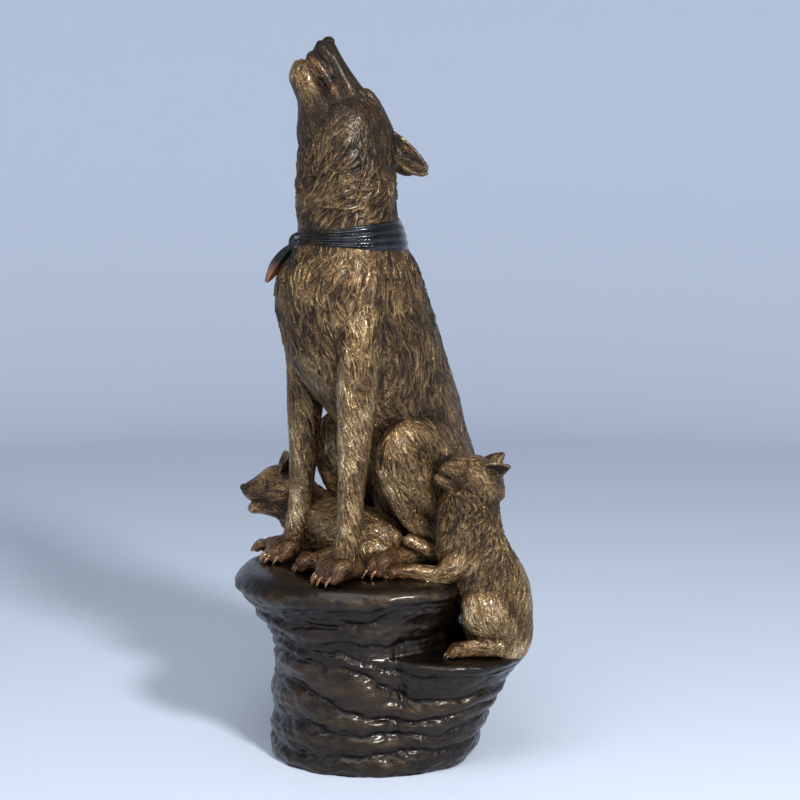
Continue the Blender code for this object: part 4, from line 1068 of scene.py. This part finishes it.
def rock_surface():
    """Level rings of a radius by bearing and height, with rounded beds of stone, a cleft at the front, and lumps
    as noise. The top and the underside are rings that shrink to a pole. Gives its points and faces, and the
    relief that the patina reads."""
    bearing = np.linspace(0, 2 * math.pi, 520, endpoint=False)
    table = np.array(ROCK_RINGS, float)
    rings = around(table[:, 1:], bearing)
    rows = smooth_path(np.column_stack((table[:, 0], np.zeros((len(table), 2)), rings)), 3.4)
    height, radius = MM * rows[:, :1], MM * rows[:, 3:]
    spot = np.stack((radius * np.cos(bearing), radius * np.sin(bearing), height + 0 * radius), -1)
    fade = np.clip((ROCK_TOP - 4 * MM - height) / (30 * MM), 0, 1)
    warp = 5 * MM * lattice_noise(spot, 48 * MM, 11) + 2 * MM * lattice_noise(spot, 16 * MM, 16)
    relief = beds(bearing, np.clip(height + warp, 0, ROCK_TOP))
    layer = (height + 2.5 * warp + 0.05 * spot[..., :1].squeeze(-1)) / (17 * MM)
    relief += 2.2 * MM * (np.abs(np.sin(math.pi * layer)) ** 0.7 - 0.6)
    relief += 3.5 * MM * lattice_noise(spot * (1, 1, 1.7), 34 * MM, 12)
    relief += 1.6 * MM * lattice_noise(spot * (1, 1, 1.7), 13 * MM, 13)
    reach = ease(60 * MM, 100 * MM, height) * ease(290 * MM, 255 * MM, height)
    cleft = np.exp(-(((bearing - CLEFT_BEARING - 0.03 * np.sin(45 * height)) / 0.04) ** 2)) * reach
    relief = relief * fade - 7 * MM * cleft * (0.6 + 0.4 * lattice_noise(spot, 30 * MM, 17))
    radius = radius + relief

    side = np.stack((radius * np.cos(bearing), radius * np.sin(bearing), height + 0 * radius), -1)
    inner = (1 - np.linspace(0, 0.965, 34)[1:])[:, None, None]
    top = side[-1:] * np.concatenate((inner, inner, np.ones_like(inner)), -1)
    swell = 5 * MM * lattice_noise(top, 60 * MM, 14) + 2 * MM * lattice_noise(top, 20 * MM, 15)
    top[..., 2] += swell * ease(1.0, 0.9, inner[..., 0])
    floor = side[:1] * np.concatenate((inner[::-3], inner[::-3], np.ones_like(inner[::-3])), -1)
    points = np.concatenate((floor, side, top))
    depth = np.concatenate((np.zeros(floor.shape[:2]), relief, np.zeros(top.shape[:2])))
    poles = (points[0].mean(axis=0), points[-1].mean(axis=0))
    skin = np.vstack((points.reshape(-1, 3), poles))
    crest = np.concatenate((depth.ravel(), (0, 0))) / (14 * MM)
    quads, fans = outward(skin, *ring_faces(len(points), len(bearing)))
    return skin, quads, fans, np.clip(0.5 + 0.5 * crest, 0, 1)


# ------------------------------------------------------------------------------- settings, operators, panel


def colour_property(name, description, code):
    """A colour that a user may change, from an sRGB hex value."""
    return FloatVectorProperty(name=name, description=description, default=linear(code), subtype="COLOR",
                               min=0, max=1)


def length_property(name, description, default, low, high):
    """A length that a user may change, from millimetres."""
    return FloatProperty(name=name, description=description, default=default * MM, min=low * MM, max=high * MM,
                         unit="LENGTH", subtype="DISTANCE")


class BronzeSizes(PropertyGroup):
    """Sizes of the skin and its hair."""
    body_cell: length_property("Body cell", "Spacing of the points on the wolf's body", 3.1, 1.5, 8)
    head_cell: length_property("Head cell", "Spacing of the points on the wolf's head and neck", 2.4, 1.2, 6)
    cub_cell: length_property("Cub cell", "Spacing of the points on the cubs", 2.4, 1.2, 6)
    scarf_cell: length_property("Neckerchief cell", "Spacing of the points on the neckerchief", 2.2, 1, 5)
    tuft_lift: FloatProperty(name="Tuft lift", description="Height of the tufts against the modelled height",
                             default=1.0, min=0, max=2, subtype="FACTOR")
    hair_pitch: length_property("Hair pitch", "Size of the noise that draws the engraved hairs", 3.8, 1, 10)


class BronzeColours(PropertyGroup):
    """Colours of the patina, the rubbed bronze and the stage."""
    # The groove colour is also the painted shade where the ridge measure darkens the hollows between limbs.
    groove: colour_property("Groove", "Patina left in the grooves of the hair", "#0f0a06")
    brown: colour_property("Brown", "Brown patina between groove and ridge", "#46331f")
    ochre: colour_property("Ochre", "Bronze half rubbed back", "#8e7149")
    gold: colour_property("Gold", "Bronze rubbed bright on the ridges", "#dcc29a")
    dark: colour_property("Dark patina", "Darker brown on face, muzzle and toes", "#2f261f")
    copper: colour_property("Copper", "Red bronze where paws and lips are worn", "#965f3f")
    rock: colour_property("Rock", "Black-brown patina of the rock", "#16100b")
    rock_brown: colour_property("Rock brown", "Brown that shows through on the rock", "#291f15")
    rock_rub: colour_property("Rock rub", "Ochre rubbed through on the rock's ridges", "#4a3924")
    scarf: colour_property("Neckerchief", "Black-green patina of the neckerchief", "#0c0f12")
    scarf_grey: colour_property("Neckerchief rub", "Grey that shows through the neckerchief's patina", "#2c3033")
    floor: colour_property("Floor", "Floor and backdrop", "#d0dae9")


class BRONZE_OT_rock(Operator):
    """Build the rock that the group stands on"""
    bl_idname = "bronze.rock"
    bl_label = "Rock"

    def execute(self, context):
        points, quads, fans, crest = rock_surface()
        rock = piece("rock", mesh_of("rock", points, quads, fans), {"crest": crest}, "rock_bronze")
        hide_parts("wolf_figurine")
        return {"FINISHED"}


class BRONZE_OT_wolf_body(Operator):
    """Build the wolf's trunk, forelegs and hindquarters as one skin in three pieces, and its claws"""
    bl_idname = "bronze.wolf_body"
    bl_label = "Wolf body"

    def execute(self, context):
        sizes = context.scene.bronze_sizes
        forms, claws = wolf_body_forms()
        points, quads, values = furred(forms, sizes.body_cell, 14 * MM, 21, band=scarf_centre()[2])
        middle = points[quads].mean(axis=1) - wolf_point(0, 0, 0)
        upper = middle[:, 2] > CHEST_FLOOR
        fore = ~upper & (middle @ WOLF_FORWARD > 20 * MM)
        for name, keep in (("wolf_chest", upper), ("wolf_forelegs", fore), ("wolf_hindquarters", ~upper & ~fore)):
            skin_piece(name, points, quads, values, "patinated_bronze", keep)
        claw_piece("wolf_claws", claws)
        return {"FINISHED"}


def claw_piece(name, claws):
    """Claws as one piece, polished and coppery."""
    points, quads, fans = joined(claws)
    bright = np.full(len(points), 0.8)
    values = {"crest": bright, "ridge": bright, "copper": 0.6 * bright}
    return piece(name, mesh_of(name, points, quads, fans), values, "patinated_bronze")


def figure_piece(name, forms, dents, cell, reach, seed, band=None):
    """A furred figure as one piece."""
    return skin_piece(name, *furred(forms, cell, reach, seed, dents, band), "patinated_bronze")


class BRONZE_OT_wolf_head(Operator):
    """Build the wolf's neck and head"""
    bl_idname = "bronze.wolf_head"
    bl_label = "Wolf head"

    def execute(self, context):
        forms, dents = wolf_head_forms()
        figure_piece("wolf_head", forms, dents, context.scene.bronze_sizes.head_cell, 9 * MM, 22,
                     scarf_centre()[2])
        return {"FINISHED"}


class BRONZE_OT_cubs(Operator):
    """Build the lying cub and the sitting cub, and their claws"""
    bl_idname = "bronze.cubs"
    bl_label = "Cubs"

    def execute(self, context):
        cell = context.scene.bronze_sizes.cub_cell
        claws = []
        for name, made, seed in (("lying_cub", lying_cub_forms(), 23), ("sitting_cub", sitting_cub_forms(), 24)):
            forms, nails, dents = made
            figure_piece(name, forms, dents, cell, 7 * MM, seed)
            claws += nails
        claw_piece("cub_claws", claws)
        return {"FINISHED"}


class BRONZE_OT_neckerchief(Operator):
    """Build the neckerchief's band, knot and two tails"""
    bl_idname = "bronze.neckerchief"
    bl_label = "Neckerchief"

    def execute(self, context):
        forms = neckerchief_forms()
        points, normals, quads = fuse(forms, context.scene.bronze_sizes.scarf_cell, 1)
        coat = weigh(points, np.concatenate([form.points[::5] for form in forms]),
                     np.concatenate([form.coat[::5] for form in forms]), 6 * MM)
        knot = scarf_centre() + KNOT_REACH * heading(KNOT_BEARING)
        copper = coat[:, 3] * ease(60 * MM, 100 * MM, np.linalg.norm(points - knot, axis=1))
        skin_piece("neckerchief", points, quads, {"copper": copper}, "scarf_bronze")
        return {"FINISHED"}


class BRONZE_OT_stage(Operator):
    """Build the floor, the light and the camera of the photograph's view"""
    bl_idname = "bronze.stage"
    bl_label = "Stage"

    def execute(self, context):
        scene = context.scene
        colour = scene.bronze_colours.floor
        # The floor is a round dish that bends up into a wall, so each view from round the group has a backdrop.
        flat, bend, rings, sides = 4.2, 1.3, 60, 96
        arc = 0.5 * math.pi * bend
        turn, way = np.meshgrid(np.arange(sides) * 2 * math.pi / sides,
                                np.linspace(0.1, flat + arc + 1.4, rings))
        angle = np.clip((way - flat) / bend, 0, 0.5 * math.pi)
        reach = np.minimum(way, flat) + bend * np.sin(angle)
        height = bend * (1 - np.cos(angle)) + np.maximum(way - flat - arc, 0)
        points = np.stack((reach * np.cos(turn), reach * np.sin(turn), height), -1).reshape(-1, 3)
        here = np.arange((rings - 1) * sides).reshape(-1, sides)
        after = np.roll(here, -1, axis=1)
        quads = np.stack((here, here + sides, after + sides, after), -1).reshape(-1, 4)
        middle = np.stack((np.full(sides, len(points)), here[0], after[0]), -1)
        mesh = mesh_of("floor", np.append(points, [(0, 0, 0)], axis=0), quads, middle)
        material, tree, shader = new_material("painted_floor")
        shader.inputs["Base Color"].default_value = (*colour, 1)
        shader.inputs["Roughness"].default_value = 0.85
        mesh.materials.append(material)
        floor = bpy.data.objects.new("floor", mesh)
        scene.collection.objects.link(floor)

        world = bpy.data.worlds.new("studio")
        scene.world = world
        world.use_nodes = True
        world.node_tree.nodes["Background"].inputs["Color"].default_value = SKY
        world.node_tree.nodes["Background"].inputs["Strength"].default_value = SKY_STRENGTH
        for name, spot, size, power in LAMPS:
            lamp = bpy.data.lights.new(name, "AREA")
            lamp.energy, lamp.size = power, size
            light = bpy.data.objects.new(name, lamp)
            scene.collection.objects.link(light)
            light.location = spot
            aim = unit(np.array((0.0, 0.0, 0.75)) - np.array(spot))
            light.rotation_euler = (math.acos(-aim[2]), 0, math.atan2(aim[1], aim[0]) - math.pi / 2)

        camera = bpy.data.objects.new("camera", bpy.data.cameras.new("camera"))
        scene.collection.objects.link(camera)
        camera.location = CAMERA_SPOT
        camera.rotation_euler = (CAMERA_TILT, 0, 0)
        camera.data.sensor_width = SENSOR
        camera.data.lens = LENS
        scene.camera = camera
        scene.view_settings.view_transform = "Standard"
        return {"FINISHED"}


class BRONZE_PT_group(Panel):
    """The group's pieces in the sidebar"""
    bl_label = "Bronze wolf group"
    bl_space_type = "VIEW_3D"
    bl_region_type = "UI"
    bl_category = "Bronze"

    def draw(self, context):
        for settings in (context.scene.bronze_sizes, context.scene.bronze_colours):
            for name in settings.bl_rna.properties.keys():
                if name not in ("rna_type", "name"):
                    self.layout.prop(settings, name)
        for operator in OPERATORS:
            self.layout.operator(operator.bl_idname)


OPERATORS = (BRONZE_OT_rock, BRONZE_OT_wolf_body, BRONZE_OT_wolf_head, BRONZE_OT_neckerchief, BRONZE_OT_cubs,
             BRONZE_OT_stage)
CLASSES = (BronzeSizes, BronzeColours, *OPERATORS, BRONZE_PT_group)


def register():
    """Adds the settings, the operators and the panel to Blender."""
    for kind in CLASSES:
        bpy.utils.register_class(kind)
    bpy.types.Scene.bronze_sizes = PointerProperty(type=BronzeSizes)
    bpy.types.Scene.bronze_colours = PointerProperty(type=BronzeColours)


def unregister():
    """Takes them away again."""
    del bpy.types.Scene.bronze_sizes
    del bpy.types.Scene.bronze_colours
    for kind in reversed(CLASSES):
        bpy.utils.unregister_class(kind)


def main():
    register()
    bpy.ops.bronze.rock()
    bpy.ops.bronze.wolf_body()
    bpy.ops.bronze.wolf_head()
    bpy.ops.bronze.neckerchief()
    bpy.ops.bronze.cubs()
    bpy.ops.bronze.stage()


if __name__ == "__main__":
    main()
